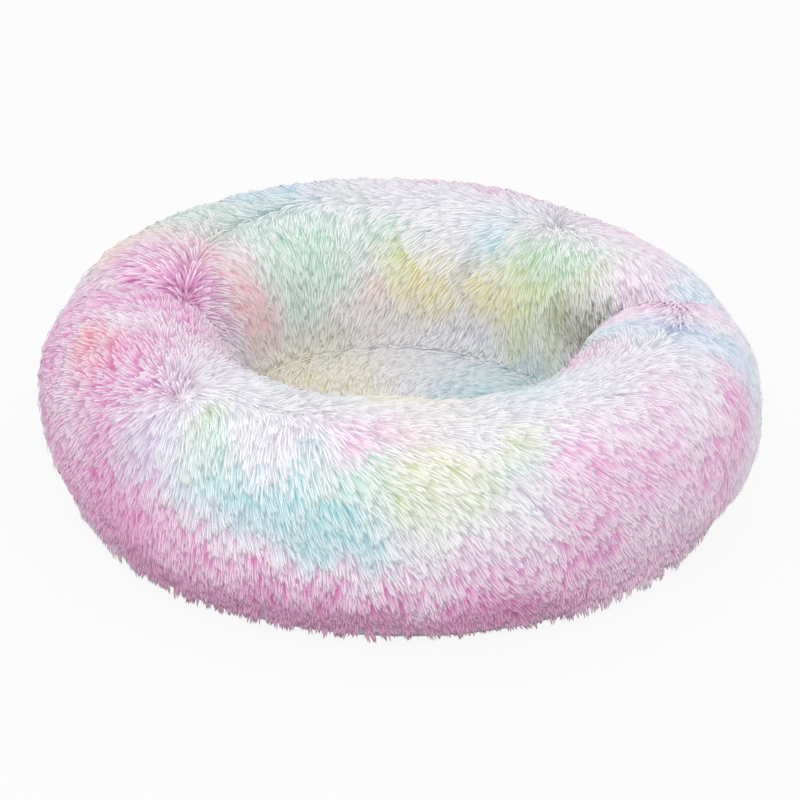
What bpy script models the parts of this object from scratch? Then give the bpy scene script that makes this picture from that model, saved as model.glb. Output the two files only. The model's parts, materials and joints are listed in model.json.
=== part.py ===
"""Round bolster pet bed with an orthopedic foam core, at its real size in metres, +Z up.

The bed stands on z = 0 with its axis on Z and its front towards -Y. A long-pile cover in two
half-ring panels meets at two pinched radial seams. The cover holds a fibre-filled ring in its
own liner, and a foam core of two layers in another. A zip round the back of the base lets the
filling out for washing, with a slider that runs along it and a pull tab that flips over.
"""

import math

import bmesh
import bpy
from mathutils import Matrix, Vector

# Driving sizes of the ring, measured to the surface of the combed pile
RING_OUTER_RADIUS = 0.300
PIT_RADIUS = 0.140
RIM_HEIGHT = 0.185
WIDEST_HEIGHT = 0.093
PILE_LOFT = 0.014

# How square each quarter of the ring's section is: 2 is an ellipse, and more is boxier
SQUARENESS_OUTER_TOP = 2.2
SQUARENESS_INNER_TOP = 2.2
SQUARENESS_INNER_LOW = 2.4
SQUARENESS_OUTER_LOW = 2.4

# The two seams between the half-ring panels, and the fold that each draws into the rim
RIGHT_SEAM_ANGLE = math.radians(12)
LEFT_SEAM_ANGLE = math.radians(170)
PINCH_DEPTH = 0.034
PINCH_WIDTH = 0.026
PINCH_TURN = math.radians(115)

# Clearances: between pieces that touch, between nested soft shells, and past a cut surface
FIT_GAP = 0.0003
SHELL_GAP = 0.0004
CUT_OVERRUN = 0.010

# Sewn casings
BASE_THICKNESS = 0.0016
BASE_WALL_THICKNESS = 0.0012
BASE_WALL_CLEAR = 0.0013
BOLSTER_LINER_THICKNESS = 0.0010
CORE_LINER_THICKNESS = 0.0008
SEAM_TAPE_THICKNESS = 0.0010
BASE_SEAM_TAPE_WIDTH = 0.0075
INNER_SEAM_TAPE_WIDTH = 0.011

# Foam core and the fur panel over it, with room beside them for the seam tape
CORE_CLEARANCE = 0.0029
SUPPORT_FOAM_THICKNESS = 0.025
TOPPER_THICKNESS = 0.026
FOAM_EDGE_ROUND = 0.003
CRATE_DEPTH = 0.010
CRATE_PITCH = 0.040
CENTRE_PANEL_THICKNESS = 0.0138
CENTRE_CROWN = 0.006

# Zip round the back, under the rim's overhang: its arc, its height and how far its coils lie
# below the pile, then its woven tapes, its coils and its stops
ZIP_MIDDLE_ANGLE = math.radians(90)
ZIP_HALF_SPAN = math.radians(55)
ZIP_HEIGHT = 0.029
ZIP_DEPTH = 0.0065
ZIP_TAPE_WIDTH = 0.0138
ZIP_TAPE_THICKNESS = 0.0008
ZIP_TAPE_OVERHANG = 0.016
COIL_THICKNESS = 0.0020
COIL_WIDTH = 0.0023
COIL_SLOT = 0.0014
TAPE_SLOT = 0.0018
STOP_LENGTH = 0.0040
STOP_WALL = 0.0006
ZIP_POCKET_CLEARANCE = 0.0015
MERGE_DISTANCE = 0.00002

# Slider, measured across the chain, along it and out from it
SLIDER_LENGTH = 0.0120
SLIDER_WIDTH = 0.0100
SLIDER_FRONT_THICKNESS = 0.0014
SLIDER_BACK_THICKNESS = 0.0012
SLIDER_POST_THICKNESS = 0.0008
SLIDER_POST_LENGTH = 0.0030
SLIDER_NOSE = 0.0008
BRIDGE_SPAN = 0.0060
BRIDGE_WALL = 0.0010
BRIDGE_CLEAR = 0.0019
BRIDGE_WIDTH = 0.0030
SLIDER_EDGE_ROUND = 0.0003

# Pull tab: a flat bar with an eye that goes round the slider's bridge
TAB_LENGTH = 0.0220
TAB_WIDTH = 0.0076
TAB_THICKNESS = 0.0012
TAB_EYE_WIDTH = 0.0038
TAB_EYE_LENGTH = 0.0044
TAB_CROSSBAR = 0.0012
TAB_HOLE_DIAMETER = 0.0030
TAB_EDGE_ROUND = 0.0002

# Facets: steps round the ring, per panel and for the plain turned pieces, and steps over the
# section, finer on the pile's surface than on the soft walls nested inside it
FAR_PANEL_STEPS = 20
NEAR_PANEL_STEPS = 26
PILE_SIDE_STEPS = 4
PILE_TOP_STEPS = 14
NESTED_SIDE_STEPS = 2
NESTED_TOP_STEPS = 7
NESTED_UNDER_STEPS = 2
TURNED_STEPS = 48
CORE_STEPS = 36
ZIP_STEPS = 44
CRATE_GRID = 26
CROWN_STEPS = 6
CORNER_STEPS = 4
SAMPLES_PER_STEP = 40
TAB_HOLE_SIDES = 16
TANGENT_STEP = math.radians(1)
SHARP_EDGE_ANGLE = math.radians(40)

FUR_PINK = (0.86, 0.55, 0.74)
FUR_PALE = (0.90, 0.88, 0.90)
BASE_GREY = (0.20, 0.20, 0.22)
LINER_WHITE = (0.88, 0.88, 0.86)
FIBRE_WHITE = (0.93, 0.93, 0.92)
FOAM_CREAM = (0.90, 0.84, 0.62)
FOAM_GREY = (0.62, 0.64, 0.66)
ZIP_PINK = (0.80, 0.52, 0.68)
NICKEL = (0.72, 0.72, 0.74)

# Places worked out from the sizes above
CREST_RADIUS = (RING_OUTER_RADIUS + PIT_RADIUS) / 2
RING_HALF_WIDTH = (RING_OUTER_RADIUS - PIT_RADIUS) / 2
LINER_INSET = PILE_LOFT + SHELL_GAP
LINER_INNER_INSET = LINER_INSET + BOLSTER_LINER_THICKNESS
FIBRE_INSET = LINER_INNER_INSET + SHELL_GAP
LINER_FLOOR = BASE_THICKNESS + FIT_GAP
FIBRE_FLOOR = LINER_FLOOR + BOLSTER_LINER_THICKNESS + SHELL_GAP

CORE_LINER_BOTTOM = BASE_THICKNESS + FIT_GAP
SUPPORT_FOAM_BOTTOM = CORE_LINER_BOTTOM + CORE_LINER_THICKNESS + FIT_GAP
SUPPORT_FOAM_TOP = SUPPORT_FOAM_BOTTOM + SUPPORT_FOAM_THICKNESS
TOPPER_BOTTOM = SUPPORT_FOAM_TOP + FIT_GAP
TOPPER_TOP = TOPPER_BOTTOM + TOPPER_THICKNESS
CORE_LINER_TOP = TOPPER_TOP + FIT_GAP + CORE_LINER_THICKNESS
CENTRE_PANEL_BOTTOM = CORE_LINER_TOP + FIT_GAP
CENTRE_PANEL_EDGE = CENTRE_PANEL_BOTTOM + CENTRE_PANEL_THICKNESS
CORE_RADIUS = PIT_RADIUS + LINER_INSET - CORE_CLEARANCE
FOAM_RADIUS = CORE_RADIUS - CORE_LINER_THICKNESS - FIT_GAP

# Places across the zip, measured out and up from the middle of the coils' outer face
TAPE_FRONT = -COIL_THICKNESS - FIT_GAP
TAPE_BACK = TAPE_FRONT - ZIP_TAPE_THICKNESS
TAPE_EDGE = TAPE_SLOT / 2 + ZIP_TAPE_WIDTH
POCKET_EDGE = TAPE_EDGE + FIT_GAP
BASE_WALL_EDGE = SLIDER_WIDTH / 2 + BASE_WALL_CLEAR


def clear_scene():
    for item in list(bpy.data.objects):
        bpy.data.objects.remove(item, do_unlink=True)


def new_collection(name):
    made = bpy.data.collections.new(name)
    bpy.context.scene.collection.children.link(made)
    return made


def new_material(name, colour, roughness, metallic=0.0):
    made = bpy.data.materials.new(name)
    made.use_nodes = True
    shader = made.node_tree.nodes["Principled BSDF"]
    shader.inputs["Base Color"].default_value = (*colour, 1)
    shader.inputs["Roughness"].default_value = roughness
    shader.inputs["Metallic"].default_value = metallic
    return made


def finish_object(name, mesh, collection, material):
    """Puts a mesh in the scene as one named, smooth-shaded piece."""
    made = bpy.data.objects.new(name, mesh)
    collection.objects.link(made)
    if material:
        mesh.materials.append(material)
    mesh.shade_smooth()
    mesh.set_sharp_from_angle(angle=SHARP_EDGE_ANGLE)
    return made


def mesh_from(bm, name):
    bmesh.ops.recalc_face_normals(bm, faces=bm.faces)
    mesh = bpy.data.meshes.new(name)
    bm.to_mesh(mesh)
    bm.free()
    return mesh


def as_cutter(cutter):
    cutter.hide_render = True
    cutter.display_type = "WIRE"
    return cutter


def cut(piece, cutter, operation="DIFFERENCE"):
    boolean = piece.modifiers.new(operation.lower(), "BOOLEAN")
    boolean.operation = operation
    boolean.object = as_cutter(cutter)


def bevel(piece, width, segments=2):
    rounding = piece.modifiers.new("edge_round", "BEVEL")
    rounding.width = width
    rounding.segments = segments
    rounding.limit_method = "ANGLE"


# Section of the padded ring

def signed_power(value, power):
    return math.copysign(abs(value) ** power, value)


def squareness_at(turn):
    outer = math.cos(turn) >= 0
    if math.sin(turn) >= 0:
        return SQUARENESS_OUTER_TOP if outer else SQUARENESS_INNER_TOP
    return SQUARENESS_OUTER_LOW if outer else SQUARENESS_INNER_LOW


def section_point(turn, inset, floor):
    """(radius, height) on the ring's section. turn runs from the outer side over the crest."""
    power = 2 / squareness_at(turn)
    half_width = RING_HALF_WIDTH - inset
    rise = RIM_HEIGHT - WIDEST_HEIGHT - inset
    drop = WIDEST_HEIGHT - floor
    half_height = rise if math.sin(turn) >= 0 else drop
    radius = CREST_RADIUS + half_width * signed_power(math.cos(turn), power)
    height = WIDEST_HEIGHT + half_height * signed_power(math.sin(turn), power)
    return radius, height


def low_turn(height, floor, squareness):
    """How far below the widest line the section turns before it comes down to a height."""
    share = (WIDEST_HEIGHT - height) / (WIDEST_HEIGHT - floor)
    return math.asin(share ** (squareness / 2))


def zip_frame():
    """(radius, lean) of the zip: it lies along the section, so it leans out as it goes up."""
    turn = -low_turn(ZIP_HEIGHT, 0, SQUARENESS_OUTER_LOW)
    below = Vector(section_point(turn - TANGENT_STEP, ZIP_DEPTH, 0))
    above = Vector(section_point(turn + TANGENT_STEP, ZIP_DEPTH, 0))
    lean = math.atan2(above.x - below.x, above.y - below.y)
    return section_point(turn, ZIP_DEPTH, 0)[0], lean


def zip_point(out, up):
    """(radius, height) of a place that is measured out from the coils' face and up along it."""
    radius, lean = zip_frame()
    across = out * math.cos(lean) + up * math.sin(lean)
    rise = up * math.cos(lean) - out * math.sin(lean)
    return radius + across, ZIP_HEIGHT + rise


def even_turns(first, last, count):
    """Turns from first to last, spaced evenly along the surface of the pile."""
    samples = SAMPLES_PER_STEP * count
    turns = [first + (last - first) * i / samples for i in range(samples + 1)]
    points = [Vector(section_point(t, 0, 0)) for t in turns]
    run = [0.0]
    for before, after in zip(points, points[1:]):
        run.append(run[-1] + (after - before).length)
    chosen = []
    for i in range(count + 1):
        wanted = run[-1] * i / count
        nearest = min(range(len(run)), key=lambda k: abs(run[k] - wanted))
        chosen.append(turns[nearest])
    return chosen


def pinch_share(angle):
    """1 on a radial seam, falling to 0 a hand's width to either side."""
    nearest = 0.0
    for seam in (RIGHT_SEAM_ANGLE, LEFT_SEAM_ANGLE):
        away = (angle - seam + math.pi) % (2 * math.pi) - math.pi
        nearest = max(nearest, math.exp(-((away * CREST_RADIUS / PINCH_WIDTH) ** 2)))
    return nearest


def pinched(point, turn, angle):
    """The point after the seam has drawn the crest and the pit side towards the filling."""
    lift = max(0.0, math.cos(turn - PINCH_TURN)) ** 2
    depth = PINCH_DEPTH * lift * pinch_share(angle)
    radius, height = point
    inward = Vector((CREST_RADIUS - radius, WIDEST_HEIGHT - height))
    moved = Vector(point) + inward.normalized() * depth
    return moved.x, moved.y


def ring_point(angle, turn, inset, floor):
    radius, height = pinched(section_point(turn, inset, floor), turn, angle)
    return Vector((radius * math.cos(angle), radius * math.sin(angle), height))


def eased_angles(first, last, steps):
    """Angles from first to last, closer together near both ends, where the folds are."""
    angles = []
    for i in range(steps + 1):
        share = i / steps
        eased = (1 - math.cos(math.pi * share)) / 2
        angles.append(first + (last - first) * (share + eased) / 2)
    return angles


def following(rows, closed):
    """Pairs of neighbouring rows, with the last and the first where the rows close up."""
    pairs = list(zip(rows, rows[1:]))
    if closed:
        pairs.append((rows[-1], rows[0]))
    return pairs


def skin(bm, rows, rows_close, points_close=False):
    """Triangles between rows of points. Nested skins split alike, so they stay apart."""
    for before, after in following(rows, rows_close):
        columns = list(zip(before, after))
        for (a, b), (d, c) in following(columns, points_close):
            bm.faces.new((a, b, c))
            bm.faces.new((a, c, d))


def loft(bm, sections):
    """Skins closed outlines that all have as many points, and caps both ends."""
    rows = [[bm.verts.new(point) for point in section] for section in sections]
    skin(bm, rows, rows_close=False, points_close=True)
    bm.faces.new(rows[0])
    bm.faces.new(rows[-1])


def ring_shell(name, angles, outer, inner, closed, collection, material):
    """A soft wall between two nested surfaces of the ring. Each is (turns, inset, floor)."""
    bm = bmesh.new()
    skins = []
    for turns, inset, floor in (outer, inner):
        rows = [
            [bm.verts.new(ring_point(angle, turn, inset, floor)) for turn in turns]
            for angle in angles
        ]
        skin(bm, rows, closed)
        skins.append(rows)
    outside, inside = skins
    for edge in (0, -1):
        rims = [(row[edge], mate[edge]) for row, mate in zip(outside, inside)]
        skin(bm, rims, closed)
        if not closed:
            bm.faces.new(outside[edge] + list(reversed(inside[edge])))
    return finish_object(name, mesh_from(bm, name), collection, material)


# Turned and swept pieces

def turned(name, profile, steps, collection, material):
    """Turns a closed outline of (radius, height) points round Z."""
    bm = bmesh.new()
    points = [bm.verts.new((radius, 0, height)) for radius, height in profile]
    on_axis = profile[0][0] == 0 and profile[-1][0] == 0
    for before, after in zip(points, points[1:]):
        bm.edges.new((before, after))
    if not on_axis:
        bm.edges.new((points[-1], points[0]))
    mesh = bpy.data.meshes.new(name)
    bm.to_mesh(mesh)
    bm.free()
    piece = bpy.data.objects.new(name, mesh)
    collection.objects.link(piece)
    screw = piece.modifiers.new("turn", "SCREW")
    screw.axis = "Z"
    screw.steps = steps
    screw.render_steps = steps
    screw.use_merge_vertices = True
    screw.merge_threshold = MERGE_DISTANCE
    screw.use_smooth_shade = True
    if material:
        mesh.materials.append(material)
    return piece


def swept_band(name, first, last, steps, outline, collection, material):
    """A band along an arc round Z, with a closed outline of (radius, height) points."""
    bm = bmesh.new()
    sections = []
    for i in range(steps + 1):
        angle = first + (last - first) * i / steps
        across = Vector((math.cos(angle), math.sin(angle), 0))
        sections.append([across * radius + Vector((0, 0, height)) for radius, height in outline])
    loft(bm, sections)
    return finish_object(name, mesh_from(bm, name), collection, material)


def band_outline(back, front, bottom, top):
    return [(back, top), (front, top), (front, bottom), (back, bottom)]


def zip_outline(back, front, bottom, top):
    """A band's outline laid along the zip."""
    return [zip_point(*corner) for corner in band_outline(back, front, bottom, top)]


def box(name, low, high, collection, material=None):
    """A box between two corners, in the frame that the piece is then placed in."""
    low, high = Vector(low), Vector(high)
    bm = bmesh.new()
    bmesh.ops.create_cube(bm, size=1.0)
    bmesh.ops.scale(bm, verts=bm.verts, vec=high - low)
    bmesh.ops.translate(bm, verts=bm.verts, vec=(low + high) / 2)
    return finish_object(name, mesh_from(bm, name), collection, material)


# The two half-ring fur panels

def base_edge_height():
    """Where the fur cover starts: just above the outer corner of the base's wall."""
    return zip_point(base_wall_back(), -BASE_WALL_EDGE)[1] + FIT_GAP


def base_edge_turn():
    return -low_turn(base_edge_height(), 0, SQUARENESS_OUTER_LOW)


def inner_seam_turn():
    return math.pi + low_turn(CENTRE_PANEL_EDGE + FIT_GAP, 0, SQUARENESS_INNER_LOW)


def side_turns(steps):
    return even_turns(base_edge_turn(), 0, steps)


def top_turns(steps):
    return even_turns(0, math.pi, steps)


def under_turns():
    """From the inner seam down to where the ring rests, and up to the base's wall."""
    lowest = 3 * math.pi / 2
    last = 2 * math.pi + base_edge_turn()
    inner = even_turns(inner_seam_turn(), lowest, NESTED_UNDER_STEPS)
    return inner + even_turns(lowest, last, NESTED_UNDER_STEPS)[1:]


def cover_turns(side_steps, top_steps):
    return side_turns(side_steps) + top_turns(top_steps)[1:] + [inner_seam_turn()]


def make_rim_cover(collection, cutters, material):
    seam_half_angle = FIT_GAP / 2 / PIT_RADIUS
    spans = {
        "rim_fur_cover_far": (RIGHT_SEAM_ANGLE, LEFT_SEAM_ANGLE, FAR_PANEL_STEPS),
        "rim_fur_cover_near": (
            LEFT_SEAM_ANGLE,
            RIGHT_SEAM_ANGLE + 2 * math.pi,
            NEAR_PANEL_STEPS,
        ),
    }
    made = {}
    for name, (first, last, steps) in spans.items():
        angles = eased_angles(first, last, steps)
        angles[0] += seam_half_angle
        angles[-1] -= seam_half_angle
        outer = (cover_turns(PILE_SIDE_STEPS, PILE_TOP_STEPS), 0, 0)
        inner = (cover_turns(NESTED_SIDE_STEPS, NESTED_TOP_STEPS), PILE_LOFT, LINER_FLOOR)
        made[name] = ring_shell(name, angles, outer, inner, False, collection, material)
    tab_reach = TAB_LENGTH - SLIDER_LENGTH / 2
    overhang = max(ZIP_TAPE_OVERHANG, tab_reach) + ZIP_POCKET_CLEARANCE
    pocket = swept_band(
        "zip_pocket_cutter",
        zip_start() - overhang / zip_frame()[0],
        zip_end() + overhang / zip_frame()[0],
        ZIP_STEPS,
        zip_outline(
            -PILE_LOFT - CUT_OVERRUN,
            ZIP_DEPTH + CUT_OVERRUN,
            -POCKET_EDGE - CUT_OVERRUN,
            POCKET_EDGE,
        ),
        cutters,
        None,
    )
    cut(made["rim_fur_cover_far"], pocket)
    return made


def make_centre_panel(collection, material):
    """The fur panel that the animal lies on, crowned by the foam under it."""
    crown = []
    for i in range(CROWN_STEPS + 1):
        share = i / CROWN_STEPS
        height = CENTRE_PANEL_EDGE + CENTRE_CROWN * (1 + math.cos(math.pi * share)) / 2
        crown.append((PIT_RADIUS * share, height))
    profile = crown + [
        (CORE_RADIUS, CENTRE_PANEL_EDGE),
        (CORE_RADIUS, CENTRE_PANEL_BOTTOM),
        (0, CENTRE_PANEL_BOTTOM),
    ]
    return turned("centre_fur_panel", profile, TURNED_STEPS, collection, material)


def make_inner_seam_tape(collection, material):
    """Binding tape over the seam between the rim cover and the centre panel."""
    inner_radius = CORE_RADIUS + FIT_GAP
    outline = band_outline(
        inner_radius,
        inner_radius + SEAM_TAPE_THICKNESS,
        CENTRE_PANEL_EDGE - INNER_SEAM_TAPE_WIDTH,
        CENTRE_PANEL_EDGE,
    )
    return turned("inner_seam_tape", outline, TURNED_STEPS, collection, material)


# The non-slip base

def base_wall_back():
    """The wall's inner face, clear of the tape's finer facets."""
    facet_sag = zip_frame()[0] * (1 - math.cos(math.pi / TURNED_STEPS))
    return TAPE_FRONT + FIT_GAP + facet_sag


def base_face(out, height):
    """One face of the base cloth: down the wall, round the corner and along the floor."""
    lean = zip_frame()[1]
    start = Vector(zip_point(out, -POCKET_EDGE))
    fall = start.y - height
    corner = Vector((start.x - fall * math.tan(lean), height))
    end = Vector((corner.x - fall / math.cos(lean), height))
    points = [zip_point(out, -BASE_WALL_EDGE)]
    for i in range(CORNER_STEPS + 1):
        share = i / CORNER_STEPS
        along = start.lerp(corner, share).lerp(corner.lerp(end, share), share)
        points.append((along.x, along.y))
    return points + [(0, height)]


def make_base_panel(collection, material):
    """Non-slip cloth, flat on the floor and sewn up round the foot of the rim."""
    back = base_wall_back()
    inside = base_face(back, BASE_THICKNESS)
    outside = base_face(back + BASE_WALL_THICKNESS, 0)
    profile = list(reversed(inside)) + outside
    return turned("base_panel", profile, TURNED_STEPS, collection, material)


def make_base_seam_tape(collection, material):
    """Binding tape inside the base seam, from one end of the zip round the front to the other."""
    outline = zip_outline(
        TAPE_FRONT - SEAM_TAPE_THICKNESS,
        TAPE_FRONT,
        -BASE_WALL_EDGE - BASE_SEAM_TAPE_WIDTH,
        -BASE_WALL_EDGE,
    )
    clear_angle = (ZIP_TAPE_OVERHANG + FIT_GAP) / zip_frame()[0]
    first = zip_end() + clear_angle
    last = zip_start() - clear_angle + 2 * math.pi
    return swept_band(
        "base_seam_tape", first, last, TURNED_STEPS, outline, collection, material
    )


# Fibre-filled ring in its own liner

def make_bolster(collection, liner, fibre):
    angles = eased_angles(RIGHT_SEAM_ANGLE, LEFT_SEAM_ANGLE, FAR_PANEL_STEPS)[:-1]
    angles += eased_angles(
        LEFT_SEAM_ANGLE, RIGHT_SEAM_ANGLE + 2 * math.pi, NEAR_PANEL_STEPS
    )[:-1]
    seam = WIDEST_HEIGHT - FIT_GAP
    over = top_turns(NESTED_TOP_STEPS)
    below = under_turns()
    below += [turn + 2 * math.pi for turn in side_turns(NESTED_SIDE_STEPS)[1:-1]]
    first = math.pi + low_turn(seam, LINER_FLOOR, SQUARENESS_INNER_LOW)
    last = 2 * math.pi - low_turn(seam, LINER_FLOOR, SQUARENESS_OUTER_LOW)
    for name, turns in (("upper", over), ("lower", [first] + below + [last])):
        ring_shell(
            "bolster_liner_" + name,
            angles,
            (turns, LINER_INSET, LINER_FLOOR),
            (turns, LINER_INNER_INSET, LINER_FLOOR + BOLSTER_LINER_THICKNESS),
            True,
            collection,
            liner,
        )
    around = over + below
    bm = bmesh.new()
    rows = [
        [bm.verts.new(ring_point(angle, turn, FIBRE_INSET, FIBRE_FLOOR)) for turn in around]
        for angle in angles
    ]
    skin(bm, rows, rows_close=True, points_close=True)
    name = "bolster_fibre_fill"
    return finish_object(name, mesh_from(bm, name), collection, fibre)


# Foam core in its own liner

def make_core_liners(collection, material):
    """Two shallow pans of liner cloth that meet round the middle of the foam."""
    wall_inner_radius = CORE_RADIUS - CORE_LINER_THICKNESS
    base_profile = [
        (0, CORE_LINER_BOTTOM + CORE_LINER_THICKNESS),
        (wall_inner_radius, CORE_LINER_BOTTOM + CORE_LINER_THICKNESS),
        (wall_inner_radius, SUPPORT_FOAM_TOP),
        (CORE_RADIUS, SUPPORT_FOAM_TOP),
        (CORE_RADIUS, CORE_LINER_BOTTOM),
        (0, CORE_LINER_BOTTOM),
    ]
    top_profile = [
        (0, CORE_LINER_TOP),
        (CORE_RADIUS, CORE_LINER_TOP),
        (CORE_RADIUS, SUPPORT_FOAM_TOP + FIT_GAP),
        (wall_inner_radius, SUPPORT_FOAM_TOP + FIT_GAP),
        (wall_inner_radius, CORE_LINER_TOP - CORE_LINER_THICKNESS),
        (0, CORE_LINER_TOP - CORE_LINER_THICKNESS),
    ]
    turned("core_liner_base", base_profile, CORE_STEPS, collection, material)
    turned("core_liner_top", top_profile, CORE_STEPS, collection, material)


def make_support_foam(collection, material):
    profile = [
        (0, SUPPORT_FOAM_TOP),
        (FOAM_RADIUS - FOAM_EDGE_ROUND, SUPPORT_FOAM_TOP),
        (FOAM_RADIUS, SUPPORT_FOAM_TOP - FOAM_EDGE_ROUND),
        (FOAM_RADIUS, SUPPORT_FOAM_BOTTOM + FOAM_EDGE_ROUND),
        (FOAM_RADIUS - FOAM_EDGE_ROUND, SUPPORT_FOAM_BOTTOM),
        (0, SUPPORT_FOAM_BOTTOM),
    ]
    return turned("support_foam_slab", profile, CORE_STEPS, collection, material)


def disc_place(across, along, radius):
    """Maps a point of a square from -1 to 1 on to a disc, keeping the cells even."""
    return Vector(
        (
            across * math.sqrt(1 - along * along / 2) * radius,
            along * math.sqrt(1 - across * across / 2) * radius,
        )
    )


def make_memory_topper(collection, material):
    """Memory foam with the rounded peaks of an egg crate on its upper face."""
    bm = bmesh.new()
    radius = FOAM_RADIUS * math.cos(math.pi / CORE_STEPS)
    rows = []
    for i in range(CRATE_GRID + 1):
        row = []
        for j in range(CRATE_GRID + 1):
            place = disc_place(2 * i / CRATE_GRID - 1, 2 * j / CRATE_GRID - 1, radius)
            wave = math.cos(2 * math.pi * place.x / CRATE_PITCH)
            wave *= math.cos(2 * math.pi * place.y / CRATE_PITCH)
            height = TOPPER_TOP - CRATE_DEPTH * (1 - wave) / 2
            row.append(bm.verts.new((place.x, place.y, height)))
        rows.append(row)
    for i in range(CRATE_GRID):
        for j in range(CRATE_GRID):
            corners = (rows[i][j], rows[i + 1][j], rows[i + 1][j + 1], rows[i][j + 1])
            bm.faces.new(corners)
    edge = [rows[i][0] for i in range(CRATE_GRID)]
    edge += [rows[CRATE_GRID][j] for j in range(CRATE_GRID)]
    edge += [rows[CRATE_GRID - i][CRATE_GRID] for i in range(CRATE_GRID)]
    edge += [rows[0][CRATE_GRID - j] for j in range(CRATE_GRID)]
    foot = [bm.verts.new((v.co.x, v.co.y, TOPPER_BOTTOM)) for v in edge]
    for i in range(len(edge)):
        j = (i + 1) % len(edge)
        bm.faces.new((edge[i], edge[j], foot[j], foot[i]))
    bm.faces.new(foot)
    name = "memory_foam_topper"
    return finish_object(name, mesh_from(bm, name), collection, material)


# Zip tapes, coils and stops

def zip_start():
    return ZIP_MIDDLE_ANGLE - ZIP_HALF_SPAN


def zip_end():
    return ZIP_MIDDLE_ANGLE + ZIP_HALF_SPAN


def make_zip_chain(collection, tape, coil):
    """Two tapes, one sewn to the base wall and one under the cover, each with its coil."""
    overhang = ZIP_TAPE_OVERHANG / zip_frame()[0]
    for name, side in (("lower", -1), ("upper", 1)):
        near = side * TAPE_SLOT / 2
        far = near + side * ZIP_TAPE_WIDTH
        outline = zip_outline(TAPE_BACK, TAPE_FRONT, min(near, far), max(near, far))
        swept_band(
            "zip_tape_" + name,
            zip_start() - overhang,
            zip_end() + overhang,
            ZIP_STEPS,
            outline,
            collection,
            tape,
        )
        near = side * COIL_SLOT / 2
        far = near + side * COIL_WIDTH
        bottom, top = min(near, far), max(near, far)
        rounding = COIL_THICKNESS / 4
        outline = [
            zip_point(-COIL_THICKNESS, top),
            zip_point(-rounding, top),
            zip_point(0, (bottom + top) / 2),
            zip_point(-rounding, bottom),
            zip_point(-COIL_THICKNESS, bottom),
        ]
        name = "zip_coil_" + name
        swept_band(name, zip_start(), zip_end(), ZIP_STEPS, outline, collection, coil)


def make_zip_stops(collection, material):
    """Two small clips where the closed slider stops, and one box that joins both coils."""
    gap = FIT_GAP / zip_frame()[0]
    length = STOP_LENGTH / zip_frame()[0]
    for name, side in (("lower", -1), ("upper", 1)):
        near = side * COIL_SLOT / 2
        far = near + side * (COIL_WIDTH + STOP_WALL)
        outline = zip_outline(-COIL_THICKNESS, STOP_WALL, min(near, far), max(near, far))
        swept_band(
            "zip_top_stop_" + name,
            zip_end() + gap,
            zip_end() + gap + length,
            1,
            outline,
            collection,
            material,
        )
    reach = COIL_SLOT / 2 + COIL_WIDTH + STOP_WALL
    outline = zip_outline(-COIL_THICKNESS, STOP_WALL, -reach, reach)
    swept_band(
        "zip_bottom_stop",
        zip_start() - gap - length,
        zip_start() - gap,
        1,
        outline,
        collection,
        material,
    )


# Slider and pull tab, built with X along the chain, Y out from the coils and Z up across them

def slider_place():
    """The frame of the slider in its closed place, with its middle on the coils' face."""
    radius, lean = zip_frame()
    angle = zip_end() - (SLIDER_LENGTH / 2 + FIT_GAP) / radius
    turn = Matrix.Rotation(angle - math.pi / 2, 4, "Z")
    place = turn @ Matrix.Translation((0, radius, ZIP_HEIGHT))
    return place @ Matrix.Rotation(-lean, 4, "X")


def tab_axis_out():
    """How far the pull tab's crossbar lies outside the coils' face."""
    return FIT_GAP + SLIDER_FRONT_THICKNESS + FIT_GAP + TAB_THICKNESS / 2


def make_slider(collection, cutters, material):
    half_length = SLIDER_LENGTH / 2
    half_width = SLIDER_WIDTH / 2
    front = FIT_GAP
    front_face = front + SLIDER_FRONT_THICKNESS
    back_face = TAPE_BACK - 2 * FIT_GAP
    back = back_face - SLIDER_BACK_THICKNESS
    slider = box(
        "zip_slider",
        (-half_length, front, -half_width),
        (half_length, front_face, half_width),
        collection,
        material,
    )
    bevel(slider, SLIDER_EDGE_ROUND)
    parts = [
        box(
            "slider_back_plate",
            (-half_length, back, -half_width),
            (half_length, back_face, half_width),
            cutters,
        ),
        box(
            "slider_post",
            (
                half_length - SLIDER_NOSE - SLIDER_POST_LENGTH,
                back + SLIDER_BACK_THICKNESS / 2,
                -SLIDER_POST_THICKNESS / 2,
            ),
            (
                half_length - SLIDER_NOSE,
                front_face - SLIDER_FRONT_THICKNESS / 2,
                SLIDER_POST_THICKNESS / 2,
            ),
            cutters,
        ),
    ]
    coil_edge = COIL_SLOT / 2 + COIL_WIDTH + FIT_GAP
    flange_end = -COIL_THICKNESS + FIT_GAP
    for name, side in (("low", -1), ("high", 1)):
        edges = sorted((side * coil_edge, side * (half_width - SLIDER_EDGE_ROUND)))
        parts.append(
            box(
                "slider_flange_" + name,
                (-half_length + SLIDER_EDGE_ROUND, flange_end, edges[0]),
                (half_length - SLIDER_EDGE_ROUND, front + SLIDER_FRONT_THICKNESS / 2, edges[1]),
                cutters,
            )
        )
    bridge_top = front_face + BRIDGE_CLEAR
    half_span = BRIDGE_SPAN / 2
    parts.append(
        box(
            "slider_bridge_top",
            (-half_span, bridge_top, -BRIDGE_WIDTH / 2),
            (half_span, bridge_top + BRIDGE_WALL, BRIDGE_WIDTH / 2),
            cutters,
        )
    )
    for name, side in (("front", 1), ("rear", -1)):
        ends = sorted((side * half_span, side * (half_span - BRIDGE_WALL)))
        parts.append(
            box(
                "slider_bridge_leg_" + name,
                (ends[0], front_face - SLIDER_FRONT_THICKNESS / 2, -BRIDGE_WIDTH / 2),
                (ends[1], bridge_top + BRIDGE_WALL / 2, BRIDGE_WIDTH / 2),
                cutters,
            )
        )
    for part in parts:
        cut(slider, part, "UNION")
        part.matrix_world = slider_place()
    slider.matrix_world = slider_place()
    return slider


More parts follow.
